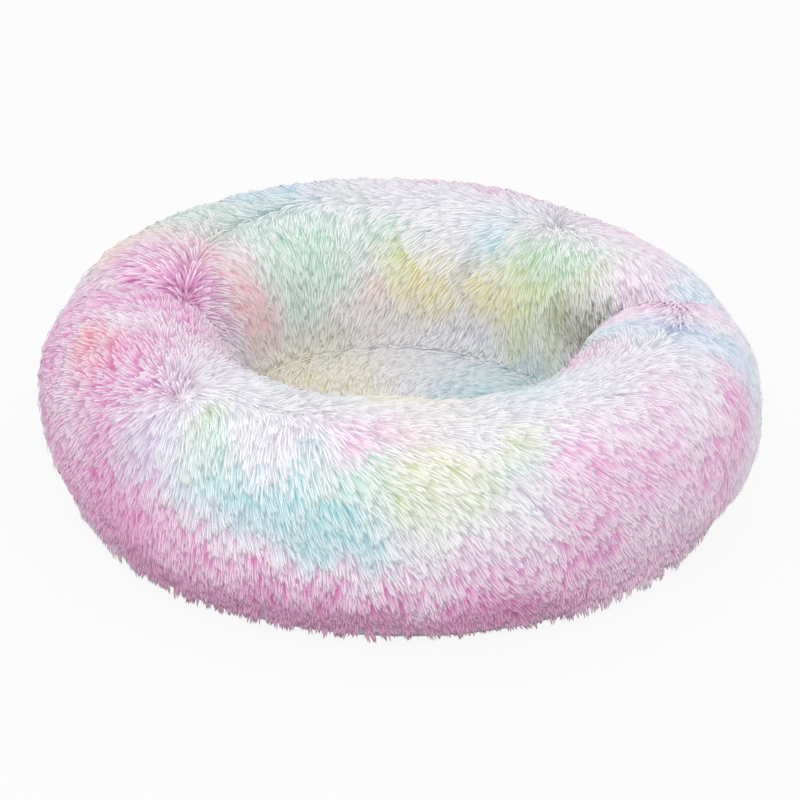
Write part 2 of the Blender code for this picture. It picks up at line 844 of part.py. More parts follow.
def make_pull_tab(collection, cutters, material):
    """The tab's own frame has its crossbar on Z at the origin."""
    half_thickness = TAB_THICKNESS / 2
    bar = TAB_CROSSBAR / 2
    tab = box(
        "zip_pull_tab",
        (-bar, -half_thickness, -TAB_WIDTH / 2),
        (TAB_LENGTH - bar, half_thickness, TAB_WIDTH / 2),
        collection,
        material,
    )
    place = slider_place() @ Matrix.Translation((0, tab_axis_out(), 0))
    eye = box(
        "tab_eye_cutter",
        (bar, -half_thickness - CUT_OVERRUN, -TAB_EYE_WIDTH / 2),
        (bar + TAB_EYE_LENGTH, half_thickness + CUT_OVERRUN, TAB_EYE_WIDTH / 2),
        cutters,
    )
    bm = bmesh.new()
    hole_radius = TAB_HOLE_DIAMETER / 2
    hole_middle = TAB_LENGTH - bar - TAB_HOLE_DIAMETER
    turn = Matrix.Rotation(math.pi / 2, 4, "X")
    bmesh.ops.create_cone(
        bm,
        cap_ends=True,
        segments=TAB_HOLE_SIDES,
        radius1=hole_radius,
        radius2=hole_radius,
        depth=2 * CUT_OVERRUN,
        matrix=Matrix.Translation((hole_middle, 0, 0)) @ turn,
    )
    hole = finish_object(
        "tab_hole_cutter", mesh_from(bm, "tab_hole_cutter"), cutters, None
    )
    cut(tab, eye)
    cut(tab, hole)
    bevel(tab, TAB_EDGE_ROUND, segments=1)
    for piece in (tab, eye, hole):
        piece.matrix_world = place
    return tab


def build():
    clear_scene()
    bed = new_collection("orthopedic_pet_bed")
    cutters = new_collection("cutters")
    fur = new_material("rim_fur", FUR_PINK, 0.95)
    pale_fur = new_material("centre_fur", FUR_PALE, 0.95)
    base = new_material("non_slip_cloth", BASE_GREY, 0.9)
    tape = new_material("woven_tape", ZIP_PINK, 0.85)
    liner = new_material("liner_cloth", LINER_WHITE, 0.9)
    fibre = new_material("polyester_fibre", FIBRE_WHITE, 1.0)
    support = new_material("support_foam", FOAM_GREY, 0.95)
    memory = new_material("memory_foam", FOAM_CREAM, 0.95)
    coil = new_material("nylon_coil", ZIP_PINK, 0.45)
    nickel = new_material("nickel", NICKEL, 0.28, metallic=1.0)

    make_rim_cover(bed, cutters, fur)
    make_centre_panel(bed, pale_fur)
    make_inner_seam_tape(bed, tape)
    make_base_panel(bed, base)
    make_base_seam_tape(bed, tape)
    make_bolster(bed, liner, fibre)
    make_core_liners(bed, liner)
    make_support_foam(bed, support)
    make_memory_topper(bed, memory)
    make_zip_chain(bed, tape, coil)
    make_zip_stops(bed, nickel)
    make_slider(bed, cutters, nickel)
    make_pull_tab(bed, cutters, nickel)


build()
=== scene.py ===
import json
import math
from functools import partial

import bmesh
import bpy
import numpy as np
from mathutils import Matrix, Vector, noise

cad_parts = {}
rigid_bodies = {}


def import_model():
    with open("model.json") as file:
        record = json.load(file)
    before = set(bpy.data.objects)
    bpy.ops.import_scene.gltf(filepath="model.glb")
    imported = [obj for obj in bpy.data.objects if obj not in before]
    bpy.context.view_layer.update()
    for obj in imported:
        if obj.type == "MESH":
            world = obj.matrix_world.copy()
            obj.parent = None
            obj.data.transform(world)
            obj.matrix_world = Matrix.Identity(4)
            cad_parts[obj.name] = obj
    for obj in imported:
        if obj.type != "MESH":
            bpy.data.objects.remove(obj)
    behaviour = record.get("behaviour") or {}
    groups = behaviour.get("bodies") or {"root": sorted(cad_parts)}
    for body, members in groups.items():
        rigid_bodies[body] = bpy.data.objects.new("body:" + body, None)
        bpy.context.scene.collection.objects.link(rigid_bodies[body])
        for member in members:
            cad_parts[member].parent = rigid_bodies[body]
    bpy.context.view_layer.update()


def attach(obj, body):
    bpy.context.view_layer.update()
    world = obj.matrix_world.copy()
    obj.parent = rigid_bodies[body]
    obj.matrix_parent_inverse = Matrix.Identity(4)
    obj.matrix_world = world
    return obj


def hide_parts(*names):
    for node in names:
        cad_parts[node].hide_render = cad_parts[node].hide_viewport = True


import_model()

# ---------------------------------------------------------------- studio
# The bed lies on a white floor in a pale room that gives most of the light. A wide
# softbox in front and one above model the rim, with a weak one at each side. The
# camera looks down on the near rim.

scene = bpy.context.scene
scene.view_settings.view_transform = "Standard"


def linear(red, green, blue):
    """A colour as a screen shows it, from 0 to 255, as the light that it gives back."""
    shares = [channel / 255 for channel in (red, green, blue)]
    return [s / 12.92 if s <= 0.04045 else ((s + 0.055) / 1.055) ** 2.4 for s in shares]


def socket_of(sockets, name):
    """The socket in use with that name, or at that place."""
    if isinstance(name, int):
        return [s for s in sockets if s.enabled][name]
    return next(s for s in sockets if s.enabled and s.name == name)


def place(tree, kind, inputs=None, **settings):
    """Adds a node with its own settings. Each input is a value, or another node's output."""
    node = tree.nodes.new(kind)
    for setting, value in settings.items():
        setattr(node, setting, value)
    for name, value in (inputs or {}).items():
        socket = socket_of(node.inputs, name)
        if isinstance(value, bpy.types.NodeSocket):
            tree.links.new(value, socket)
        else:
            socket.default_value = value
    return node


def sums(tree, operation, *values):
    """One step of arithmetic, as the output of a Math node."""
    step = place(tree, "ShaderNodeMath", dict(enumerate(values)), operation=operation)
    return step.outputs[0]


def new_finish(name, roughness, **shader):
    """A material with its own Principled shader, and that shader's plain settings."""
    material = bpy.data.materials.new(name)
    material.use_nodes = True
    surface = material.node_tree.nodes["Principled BSDF"]
    surface.inputs["Roughness"].default_value = roughness
    for setting, value in shader.items():
        surface.inputs[setting.replace("_", " ").title()].default_value = value
    return material, material.node_tree, surface


def show(name, mesh, *materials):
    """Puts a finished mesh in the scene, at the origin of the frame."""
    piece = bpy.data.objects.new(name, mesh)
    scene.collection.objects.link(piece)
    for material in materials:
        mesh.materials.append(material)
    return piece


def seen_rays(tree):
    """1 for what the camera sees, also in a mirror or through glass, and 0 for plain light."""
    path = place(tree, "ShaderNodeLightPath").outputs
    seen = sums(tree, "MAXIMUM", path["Is Camera Ray"], path["Is Glossy Ray"])
    return sums(tree, "MAXIMUM", seen, path["Is Transmission Ray"])


def paper_white(tree, surface, share):
    """What the camera and mirrors see is mostly plain white, so only a faint shadow stays."""
    share = sums(tree, "MULTIPLY", seen_rays(tree), share)
    white = place(tree, "ShaderNodeEmission", {"Color": (1, 1, 1, 1), "Strength": 1.0})
    inputs = {0: share, 1: surface.outputs[0], 2: white.outputs[0]}
    mix = place(tree, "ShaderNodeMixShader", inputs)
    tree.links.new(mix.outputs[0], tree.nodes["Material Output"].inputs["Surface"])


floor_half, floor_height = 6.0, -0.0002
floor_mesh = bpy.data.meshes.new("studio_floor")
floor_corners = [
    (x * floor_half, y * floor_half, floor_height) for x, y in ((-1, -1), (1, -1), (1, 1), (-1, 1))
]
floor_mesh.from_pydata(floor_corners, [], [(0, 1, 2, 3)])
floor_paint, floor_nodes, floor_shader = new_finish("studio_white", 0.9)
floor_shader.inputs["Base Color"].default_value = (*linear(205, 205, 205), 1)
paper_white(floor_nodes, floor_shader, 0.89)
floor = show("studio_floor", floor_mesh, floor_paint)

world = bpy.data.worlds.new("studio_room")
scene.world = world
world.use_nodes = True
room = world.node_tree
room_light = room.nodes["Background"]
room_light.inputs["Color"].default_value = (1, 1, 1, 1)
room_strength = sums(room, "MULTIPLY_ADD", seen_rays(room), 0.05, 0.95)
room.links.new(room_strength, room_light.inputs["Strength"])


def softbox(name, place_at, size, power):
    """A square lamp that faces the bed."""
    lamp = bpy.data.lights.new(name, "AREA")
    lamp.energy = power
    lamp.size = size
    light = bpy.data.objects.new(name, lamp)
    light.location = place_at
    facing = Vector((0, 0, 0.1)) - Vector(place_at)
    light.rotation_euler = facing.to_track_quat("-Z", "Y").to_euler()
    scene.collection.objects.link(light)


softbox("softbox_front", (-0.2, -2.4, 1.5), 2.4, 24)
softbox("softbox_above", (-0.4, -0.2, 2.4), 2.2, 9)
softbox("softbox_left", (-1.9, -1.5, 1.0), 1.4, 4)
softbox("softbox_right", (2.1, -1.3, 0.9), 1.4, 4)

view_elevation = math.radians(26.7)
view_roll = math.radians(1.2)
view_distance = 3.0
view_aim = Vector((0.0017, 0.0, 0.09))
view_up = Vector((0, math.sin(view_elevation), math.cos(view_elevation)))
view_back = Vector((0, -math.cos(view_elevation), math.sin(view_elevation)))
lens = bpy.data.cameras.new("camera")
lens.sensor_width = 36
lens.lens = 160
camera = bpy.data.objects.new("camera", lens)
camera.location = view_aim - view_up * 0.0059 + view_back * view_distance
turned = (-view_back).to_track_quat("-Z", "Y").to_matrix() @ Matrix.Rotation(view_roll, 3, "Z")
camera.rotation_euler = turned.to_euler()
scene.collection.objects.link(camera)
scene.camera = camera

# ---------------------------------------------------------------- fur covers, their cloth
# Two half-rings of knitted backing, sewn to each other at two radial seams that
# draw the crest down in a crease. The pile is rooted in this cloth all over.

ring_outer, pit_radius, rim_height, widest_height = 0.300, 0.140, 0.185, 0.093
crest_radius = (ring_outer + pit_radius) / 2
half_width = (ring_outer - pit_radius) / 2
right_seam, left_seam = 12, 170
cloth_inset, cloth_thickness = 0.0118, 0.0014
section_radius = 0.083
hollow_depth, hollow_reach, fold_reach, crease_turn = 0.030, 0.026, 0.010, 118
oval_reach, oval_angle = 0.0065, 138
lump_height, lump_size = 0.0032, 0.11

# Dents of the side in plan: angle, spread in degrees, depth. A negative one stands out.
dents = ((212, 14, 0.0120), (318, 20, 0.0100), (2, 22, -0.0070))


def signed_power(value, power):
    return np.sign(value) * np.abs(value) ** power


def ramp(value, start, length):
    """0 up to the start and 1 from a length beyond it, with an even rise between."""
    return np.clip((value - start) / length, 0, 1)


def bell(distance, spread):
    """1 at no distance, falling smoothly to almost nothing at twice the spread."""
    return np.exp(-((distance / spread) ** 2))


def round_axis(around, radius, height):
    """Places at angles in radians round the upright axis."""
    return np.stack([np.cos(around) * radius, np.sin(around) * radius, height + 0 * around], -1)


def run_along(radius, height):
    """How far each place on an outline is from its first one, measured along it."""
    return np.concatenate([[0], np.cumsum(np.hypot(np.diff(radius), np.diff(height)))])


def section(turn, inset, floor=0.0):
    """Radius and height on the ring's section. 0 is outermost, 90 the crest, 180 the pit."""
    turn = np.radians(turn)
    power = 2 / np.where(np.sin(turn) >= 0, 2.2, 2.4)
    rise = rim_height - widest_height - inset
    half_height = np.where(np.sin(turn) >= 0, rise, widest_height - floor)
    radius = crest_radius + (half_width - inset) * signed_power(np.cos(turn), power)
    return radius, widest_height + half_height * signed_power(np.sin(turn), power)


def apart(angle, other):
    """How many degrees round the ring from other to angle, at most half a turn either way."""
    return (angle - other + 180) % 360 - 180


def crease(angle, turn):
    """How deep the seams draw a place in: a broad hollow, and a sharp fold on the seam itself."""
    lift = np.clip(np.cos(np.radians(turn - crease_turn)), 0, 1) ** 1.6
    depth = 0.0
    for seam, fold in ((right_seam, 0.030), (left_seam, 0.018)):
        away = np.abs(np.radians(apart(angle, seam))) * crest_radius
        hollow = hollow_depth * bell(away, hollow_reach) + fold * np.exp(-away / fold_reach)
        depth = np.maximum(depth, hollow)
    return depth * lift


def waves(places, size, seed):
    """Smooth random numbers, about -1 to 1, that change over the given distance."""
    shift = Vector((seed * 7.3, seed * 3.1, seed * 5.7))
    flat = places.reshape(-1, 3)
    found = [noise.noise(Vector(p) / size + shift) for p in flat]
    return np.array(found).reshape(places.shape[:-1]) * 1.6


def on_ring(angle, turn, inset, floor=0.0):
    """Places on the stuffed ring. It is a little oval and uneven, and round at its base."""
    angle, turn = np.broadcast_arrays(np.asarray(angle, float), np.asarray(turn, float))
    radius, height = section(turn, inset, floor)
    inward = np.stack([crest_radius - radius, widest_height - height], -1)
    inward /= np.linalg.norm(inward, axis=-1, keepdims=True) + 1e-9
    depth = crease(angle, turn)
    radius = radius + inward[..., 0] * depth
    height = height + inward[..., 1] * depth
    loose = ramp(height, 0.040, 0.050)
    oval = oval_reach * np.cos(np.radians(2 * (angle - oval_angle)))
    oval = oval * loose * ramp(radius, 0.170, 0.080)
    side = ramp(height, 0.024, 0.016) * ramp(radius, 0.190, 0.070)
    for at_angle, spread, dent in dents:
        oval = oval - dent * bell(apart(angle, at_angle), spread) * side
    around = np.radians(angle)
    lump = lump_height * waves(round_axis(around, crest_radius, height), lump_size, 1) * loose
    radius = radius + oval - inward[..., 0] * lump
    height = height - inward[..., 1] * lump
    return round_axis(around, radius, height)


def even_turns(first, last, count):
    """Turns from first to last, spaced evenly along the cloth."""
    turns = np.linspace(first, last, 2000)
    run = run_along(*section(turns, cloth_inset))
    return np.interp(np.linspace(0, run[-1], count), run, turns)


def sheet_mesh(name, places, closed_across=False, closed_along=False):
    """Quads over a grid of places, whose rows and columns may close on themselves."""
    rows, columns = places.shape[:2]
    index = np.arange(rows * columns).reshape(rows, columns)
    if closed_across:
        index = np.concatenate([index, index[:1]], 0)
    if closed_along:
        index = np.concatenate([index, index[:, :1]], 1)
    corners = [index[:-1, :-1], index[1:, :-1], index[1:, 1:], index[:-1, 1:]]
    faces = np.stack(corners, -1).reshape(-1, 4)
    mesh = bpy.data.meshes.new(name)
    mesh.from_pydata(places.reshape(-1, 3).tolist(), [], faces.tolist())
    mesh.shade_smooth()
    return mesh


def settle(piece):
    """Applies a piece's modifiers, so that what is left is a plain mesh."""
    graph = bpy.context.evaluated_depsgraph_get()
    mesh = bpy.data.meshes.new_from_object(
        piece.evaluated_get(graph), preserve_all_data_layers=True, depsgraph=graph
    )
    piece.modifiers.clear()
    mesh.name = piece.name
    piece.data = mesh
    return piece


def thicken(piece, thickness):
    """Gives a cloth its thickness, inwards of its face and closed at the edges."""
    wall = piece.modifiers.new("cloth", "SOLIDIFY")
    wall.thickness = thickness
    wall.offset = -1.0
    return settle(piece)


seam_gap = 0.06
zip_from, zip_to = 31.4, 148.6
cover_edge, cover_edge_over_zip, inner_seam = -43.0, -29.5, 189.5


def cover_first_turn(angle):
    """Where the cover's cloth starts: at the base, and over the zip at the back."""
    inside = np.minimum(angle - zip_from, zip_to - angle)
    return cover_edge + (cover_edge_over_zip - cover_edge) * ramp(inside, 0.5, 0.9)


dye_and_shade_colours = {
    "magenta": linear(212, 66, 176),
    # plum is painted shade: a darker magenta on the underside near the floor
    "plum_shade": linear(152, 34, 106),
    "rose": linear(226, 126, 198),
    "coral": linear(228, 110, 128),
    "peach": linear(232, 178, 160),
    "lemon": linear(226, 214, 112),
    "lime": linear(178, 206, 92),
    # olive and fern also stand as painted shade in the crease at the right seam
    "olive_and_crease_shade": linear(104, 110, 52),
    "fern_and_crease_shade": linear(34, 84, 62),
    "mint": linear(136, 208, 168),
    "aqua": linear(112, 200, 206),
    "sky": linear(140, 196, 222),
    "lilac": linear(176, 164, 210),
}

# Each splash of dye, or of painted shade: its colour, its place as angle and turn, how far it
# spread along and across the ring in millimetres, and how strong it is.
splashes = [
    # near half, the lower edge all round: magenta dye, and plum as painted shade where the side
    # turns under towards the floor
    ("magenta", 196, -25, 60, 30, 1.0), ("magenta", 212, -12, 60, 26, 1.0),
    ("magenta", 222, 2, 44, 26, 0.8), ("magenta", 230, -24, 60, 28, 1.6),
    ("magenta", 248, -32, 60, 30, 2.0),
    ("magenta", 266, -36, 60, 28, 2.2), ("magenta", 284, -26, 50, 30, 1.8),
    ("plum_shade", 218, -30, 40, 20, 1.0), ("plum_shade", 234, -34, 50, 24, 2.4),
    ("plum_shade", 252, -38, 60, 24, 3.2),
    ("plum_shade", 272, -38, 50, 22, 2.8), ("plum_shade", 292, -36, 40, 20, 1.6),
    ("magenta", 300, -20, 50, 28, 0.7), ("magenta", 318, -26, 60, 26, 0.6),
    ("magenta", 337, -24, 50, 28, 0.6), ("magenta", 355, -30, 60, 26, 0.55),
    # near half, from the left seam to the right one
    ("magenta", 183, 70, 40, 60, 0.65), ("magenta", 190, 20, 40, 40, 0.7),
    ("magenta", 192, 118, 34, 34, 0.7), ("coral", 203, 58, 22, 22, 1.0),
    ("magenta", 210, 62, 26, 30, 0.9), ("magenta", 214, 24, 26, 26, 0.7),
    ("lilac", 228, 30, 26, 26, 0.3), ("lime", 231, 58, 12, 14, 0.2),
    ("mint", 236, 50, 20, 18, 0.35), ("aqua", 243, 36, 22, 24, 0.7),
    ("aqua", 254, 33, 26, 26, 0.9), ("aqua", 262, 22, 18, 20, 0.7),
    ("mint", 262, 50, 22, 18, 0.4), ("lime", 271, 42, 16, 24, 0.32),
    ("lemon", 276, 54, 16, 16, 0.2), ("lime", 281, 46, 16, 20, 0.3),
    ("peach", 268, 72, 20, 12, 0.2), ("rose", 258, 74, 24, 12, 0.3),
    ("mint", 288, 58, 20, 16, 0.25), ("lemon", 288, 68, 16, 12, 0.25),
    ("rose", 300, 47, 22, 22, 0.8), ("magenta", 298, 12, 26, 22, 0.55),
    ("rose", 311, 26, 30, 26, 0.6), ("rose", 326, 22, 34, 26, 0.55),
    ("magenta", 340, 36, 16, 22, 0.6), ("rose", 341, 50, 22, 20, 0.5),
    ("magenta", 334, 12, 26, 22, 0.4), ("rose", 318, 62, 30, 22, 0.3),
    ("sky", 350, 46, 16, 30, 0.45), ("sky", 346, 72, 16, 20, 0.4),
    ("sky", 344, 104, 22, 22, 0.5), ("lilac", 349, 88, 16, 16, 0.6),
    ("aqua", 345, 132, 22, 20, 0.8), ("rose", 1, 104, 18, 34, 0.32),
    ("rose", 4, 76, 18, 20, 0.36), ("aqua", 1, 134, 14, 14, 0.5),
    ("rose", 210, 130, 60, 40, 0.8), ("mint", 240, 140, 60, 40, 0.7),
    ("lemon", 268, 135, 50, 40, 0.8), ("aqua", 295, 140, 50, 40, 0.7),
    ("rose", 322, 145, 40, 40, 0.7),
    # far half, from the right seam to the left one; fern and olive at the right seam are partly
    # olive dye, partly painted shade in its crease
    ("fern_and_crease_shade", 8, 136, 18, 24, 3.0), ("olive_and_crease_shade", 9, 122, 9, 12, 0.7),
    ("olive_and_crease_shade", 18, 140, 22, 22, 3.0), ("olive_and_crease_shade", 30, 146, 22, 22, 2.2),
    ("peach", 14, 116, 8, 14, 0.8), ("rose", 22, 100, 22, 20, 0.2),
    ("lime", 30, 146, 20, 40, 0.9), ("lime", 44, 140, 26, 34, 1.0),
    ("lemon", 52, 148, 28, 24, 0.9), ("aqua", 58, 118, 24, 16, 0.4),
    ("mint", 42, 116, 20, 16, 0.9), ("fern_and_crease_shade", 62, 140, 12, 16, 0.5),
    ("lemon", 78, 150, 44, 20, 0.9), ("lime", 88, 138, 30, 14, 0.5),
    ("mint", 92, 122, 40, 14, 0.4), ("peach", 96, 160, 30, 14, 0.4),
    ("rose", 36, 76, 40, 14, 0.3), ("rose", 72, 74, 40, 14, 0.5),
    ("rose", 94, 70, 30, 14, 0.45), ("sky", 118, 76, 30, 20, 0.6),
    ("mint", 140, 84, 40, 24, 0.5), ("peach", 153, 76, 22, 22, 0.6),
    ("sky", 14, 62, 30, 30, 0.4), ("mint", 120, 130, 60, 40, 0.7),
    ("coral", 148, 140, 40, 40, 0.6), ("magenta", 164, 92, 26, 34, 0.5),
    ("magenta", 170, 125, 26, 40, 0.45), ("lilac", 177, 140, 16, 20, 0.9),
    ("magenta", 172, 40, 40, 40, 0.7),
    ("rose", 322, 212, 110, 40, 0.5), ("mint", 232, 210, 100, 40, 0.4),
    ("lemon", 128, 210, 100, 40, 0.4), ("aqua", 30, 214, 100, 40, 0.5),
    # far half, its outer side
    ("magenta", 20, -20, 70, 30, 0.9), ("aqua", 34, 30, 40, 30, 0.7),
    ("rose", 52, 36, 40, 34, 0.8), ("magenta", 60, -16, 60, 26, 1.0),
    ("lilac", 76, 20, 44, 30, 0.6), ("lemon", 92, 36, 40, 26, 0.7),
    ("magenta", 98, -16, 60, 26, 1.0), ("aqua", 112, 30, 44, 30, 0.8),
    ("rose", 134, 34, 44, 34, 0.8), ("magenta", 138, -18, 60, 26, 1.0),
    ("magenta", 160, -14, 60, 40, 1.0),
]


dye_wander, dye_wander_size = 0.013, 0.034


def dyed(angle, turn, places):
    """The mixed dye at each place, with the painted shade of the dark splashes, and in its last
    channel how much of it there is.
    """
    strays = [waves(places, dye_wander_size, seed) * dye_wander for seed in (2, 3)]
    angle = angle + np.degrees(strays[0] / crest_radius)
    turn = turn + np.degrees(strays[1] / section_radius)
    total = np.full(places.shape[:-1], 1e-6)
    mixed = np.zeros(places.shape)
    for dye, at_angle, at_turn, along, across, strength in splashes:
        run = np.radians(apart(angle, at_angle)) * crest_radius / (along / 1000)
        rise = np.radians(turn - at_turn) * section_radius / (across / 1000)
        share = strength * np.exp(-(run**2) - rise**2)
        total += share
        mixed += share[..., None] * np.array(dye_and_shade_colours[dye])
    colour = mixed / total[..., None]
    return np.concatenate([colour, (1 - np.exp(-2.2 * total))[..., None]], -1)


def keep_dye(mesh, colours):
    """Stores the dye, with its painted shade, on the mesh, for its material to read."""
    mesh.color_attributes.new("dye", "FLOAT_COLOR", "POINT")
    mesh.color_attributes["dye"].data.foreach_set("color", colours.astype(np.float32).ravel())


def new_group(name, kind, inputs, outputs):
    """An empty node group. Its sockets are given by name, each with its type."""
    tree = bpy.data.node_groups.new(name, kind)
    for in_out, sockets in (("INPUT", inputs), ("OUTPUT", outputs)):
        for socket, of_type in sockets.items():
            tree.interface.new_socket(socket, in_out=in_out, socket_type="NodeSocket" + of_type)
    return tree, place(tree, "NodeGroupInput").outputs


def blend(tree, share, first, second, **settings):
    """A colour mixed of two. Each is a node's output, or plain red, green and blue."""
    colours = [c if isinstance(c, bpy.types.NodeSocket) else (*c, 1) for c in (first, second)]
    inputs = {0: share, "A": colours[0], "B": colours[1]}
    return place(tree, "ShaderNodeMix", inputs, data_type="RGBA", **settings).outputs[2]


def emboss(tree, surface, height, strength, distance):
    """Lets a height show as relief under the light."""
    inputs = {"Height": height, "Strength": strength, "Distance": distance}
    relief = place(tree, "ShaderNodeBump", inputs).outputs[0]
    tree.links.new(relief, surface.inputs["Normal"])


def on_object(tree):
    """The place on the piece itself, for a texture to follow."""
    return place(tree, "ShaderNodeTexCoord").outputs["Object"]


def stored(tree, name):
    """What a mesh keeps under that name, as a material reads it."""
    return place(tree, "ShaderNodeAttribute", attribute_name=name).outputs


def knit_group():
    """Rows of small knitted loops: how high the cloth is, and the painted shade between the loops.
    """
    tree, given = new_group(
        "knitted_loops",
        "ShaderNodeTree",
        {"Vector": "Vector", "Loop Size": "Float"},
        {"Height": "Float", "Shade": "Float"},
    )
    per_loop = sums(tree, "DIVIDE", 1.0, given["Loop Size"])
    scaled = {0: given["Vector"], "Scale": per_loop}
    loop_place = place(tree, "ShaderNodeVectorMath", scaled, operation="SCALE").outputs[0]
    loops = place(
        tree,
        "ShaderNodeTexVoronoi",
        {"Vector": loop_place, "Scale": 1.0, "Randomness": 0.35},
        feature="SMOOTH_F1",
    )
    height = sums(tree, "SUBTRACT", 1.0, loops.outputs["Distance"])
    shade = sums(tree, "POWER", height, 2.0)
    place(tree, "NodeGroupOutput", {"Height": height, "Shade": shade})
    return tree


cover_cloth, cloth_nodes, cloth_shader = new_finish("dyed_knit_backing", 0.9)
cloth_dye = stored(cloth_nodes, "dye")
cloth_knit = place(
    cloth_nodes,
    "ShaderNodeGroup",
    {"Vector": on_object(cloth_nodes), "Loop Size": 0.0016},
    node_tree=knit_group(),
).outputs
undyed_cloth = linear(240, 238, 243)
cloth_colour = blend(cloth_nodes, cloth_dye["Alpha"], undyed_cloth, cloth_dye["Color"])
# Between the knitted loops the cloth is painted up to a quarter darker, as shade.
cloth_painted_shade = blend(cloth_nodes, 0.25, cloth_colour, (0, 0, 0))
cloth_shaded = blend(cloth_nodes, cloth_knit["Shade"], cloth_painted_shade, cloth_colour)
cloth_nodes.links.new(cloth_shaded, cloth_shader.inputs["Base Color"])
emboss(cloth_nodes, cloth_shader, cloth_knit["Height"], 0.6, 0.0006)

for side, first, last in (("near", left_seam, right_seam + 360), ("far", right_seam, left_seam)):
    name = "rim_cover_cloth_" + side
    angles = np.linspace(first + seam_gap, last - seam_gap, round(last - first))
    edges = cover_first_turn(angles % 360) if side == "far" else np.full(len(angles), cover_edge)
    spread = (even_turns(cover_edge, inner_seam, 56) - cover_edge) / (inner_seam - cover_edge)
    turns = edges[:, None] + (inner_seam - edges[:, None]) * spread
    places = on_ring(angles[:, None], turns, cloth_inset)
    cover = show(name, sheet_mesh(name, places), cover_cloth)
    keep_dye(cover.data, dyed(angles[:, None] % 360 + 0 * turns, turns, places))
    thicken(cover, cloth_thickness)
    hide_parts("rim_fur_cover_" + side)
    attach(cover, "bed")

# ---------------------------------------------------------------- centre panel
# A disc of the same knitted backing over the foam, turned up all round where it is
# sewn to the two covers. It is crowned by the foam and sinks at its sewn edge.

panel_crown, panel_edge_height, panel_thickness = 0.0052, 0.0570, 0.0012
panel_radius = 0.1502
panel_corner = [
    (0.1440, 0.0573), (0.1465, 0.0580), (0.1484, 0.0594), (0.1495, 0.0612), (0.1500, 0.0635),
    (panel_radius, 0.0660), (panel_radius, 0.0692),
]


def centre_height(radius):
    """How high the centre panel's cloth lies."""
    return panel_edge_height + panel_crown * np.clip(1 - (radius / 0.139) ** 4, 0, 1)


def turned_places(profile, count):
    """Places on an outline of radius and height, turned round the upright axis."""
    around = np.radians(np.arange(count) * 360 / count)[:, None]
    return round_axis(around, *np.array(profile, float).T)


def panel_turn(radius):
    """The turn that stands for a place on the panel: 190 at its edge, 250 in the middle."""
    return 190 + 60 * (1 - radius / panel_radius)


def close_up(mesh):
    """Joins doubled points, such as the ring of them at a pole, and turns the faces outwards."""
    bm = bmesh.new()
    bm.from_mesh(mesh)
    bmesh.ops.remove_doubles(bm, verts=bm.verts, dist=0.000002)
    bmesh.ops.recalc_face_normals(bm, faces=bm.faces)
    bm.to_mesh(mesh)
    bm.free()
    return mesh


panel_radii = np.concatenate([np.linspace(0, 0.1400, 36), [0.1420]])
panel_outline = [(r, centre_height(r)) for r in panel_radii] + panel_corner
panel_places = turned_places(panel_outline, 240)
panel_mesh = close_up(sheet_mesh("centre_panel_cloth", panel_places, closed_across=True))
centre_cloth = show("centre_panel_cloth", panel_mesh, cover_cloth)
if centre_cloth.data.polygons[0].normal.z < 0:
    centre_cloth.data.flip_normals()
centre_points = np.array([v.co for v in centre_cloth.data.vertices])
centre_angle = np.degrees(np.arctan2(centre_points[:, 1], centre_points[:, 0])) % 360
centre_turn = panel_turn(np.hypot(centre_points[:, 0], centre_points[:, 1]))
keep_dye(centre_cloth.data, dyed(centre_angle, centre_turn, centre_points))
thicken(centre_cloth, panel_thickness)
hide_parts("centre_fur_panel")
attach(centre_cloth, "bed")

# ---------------------------------------------------------------- pile
# Long soft locks of polyester fur, each rooted in the cloth and combed along it:
# down over the outside, down into the pit, and away from a few partings.

pile_lock_length, pile_rise = 0.034, 0.0130
lock_half_width = 0.00141

# Where the pile parts: angle, turn, and how far round it the pile still leans away.
partings = [(252, 84, 0.420), (222, 60, 0.120), (50, 95, 0.170)]
parting_angles = [0, 50, 110, 176, 222, 254, 310, 360]
parting_turns = [80, 95, 92, 112, 62, 82, 76, 80]

# How hard the pile is pushed from a parting, and how much its own weight turns it down:
# on the outside, and more so at the hem.
parting_push, hang_outside, hang_at_hem = 1.25, 0.30, 0.9

# Over the zip the pile starts higher, from just before the tapes to just past them.
zip_margin_first, zip_margin_last, zip_clear_height = 2.4, 0.6, 0.0445

hem_foot_radius, hem_foot_height, hem_row_count = 0.2690, -0.003, 6
guide_angles = np.arange(0, 360, 0.75)
guide_turns = even_turns(cover_edge, 188, 76)
rim_part = on_ring(guide_angles[:, None], guide_turns, cloth_inset)
around = np.radians(guide_angles)
hem_radius = np.hypot(rim_part[:, 0, 0], rim_part[:, 0, 1])
hem_rows = []
for share in np.linspace(0, 0.9, hem_row_count):
    radius = hem_foot_radius + (hem_radius - hem_foot_radius) * share
    height = hem_foot_height + (rim_part[:, 0, 2] - hem_foot_height) * share
    hem_rows.append(round_axis(around, radius, height))
hem_part = np.stack(hem_rows, 1)
pit_outline = panel_corner[::-2] + [(r, centre_height(r)) for r in np.linspace(0.1410, 0.001, 26)]
pit_part = turned_places(pit_outline, len(guide_angles))
guide_places = np.concatenate([hem_part, rim_part, pit_part], 1)
pit_turns = panel_turn(np.array(pit_outline)[:, 0])
row_turns = np.concatenate([np.full(hem_row_count, cover_edge), guide_turns, pit_turns])
guide_turn = np.broadcast_to(row_turns, guide_places.shape[:2])
guide_angle = np.broadcast_to(guide_angles[:, None], guide_places.shape[:2])
guide_mesh = sheet_mesh("pile_guide", guide_places, closed_across=True)
guide_normals = np.empty(guide_places.size, np.float32)
guide_mesh.vertex_normals.foreach_get("vector", guide_normals)
guide_normals = guide_normals.reshape(guide_places.shape)


def unit(vectors):
    return vectors / (np.linalg.norm(vectors, axis=-1, keepdims=True) + 1e-9)


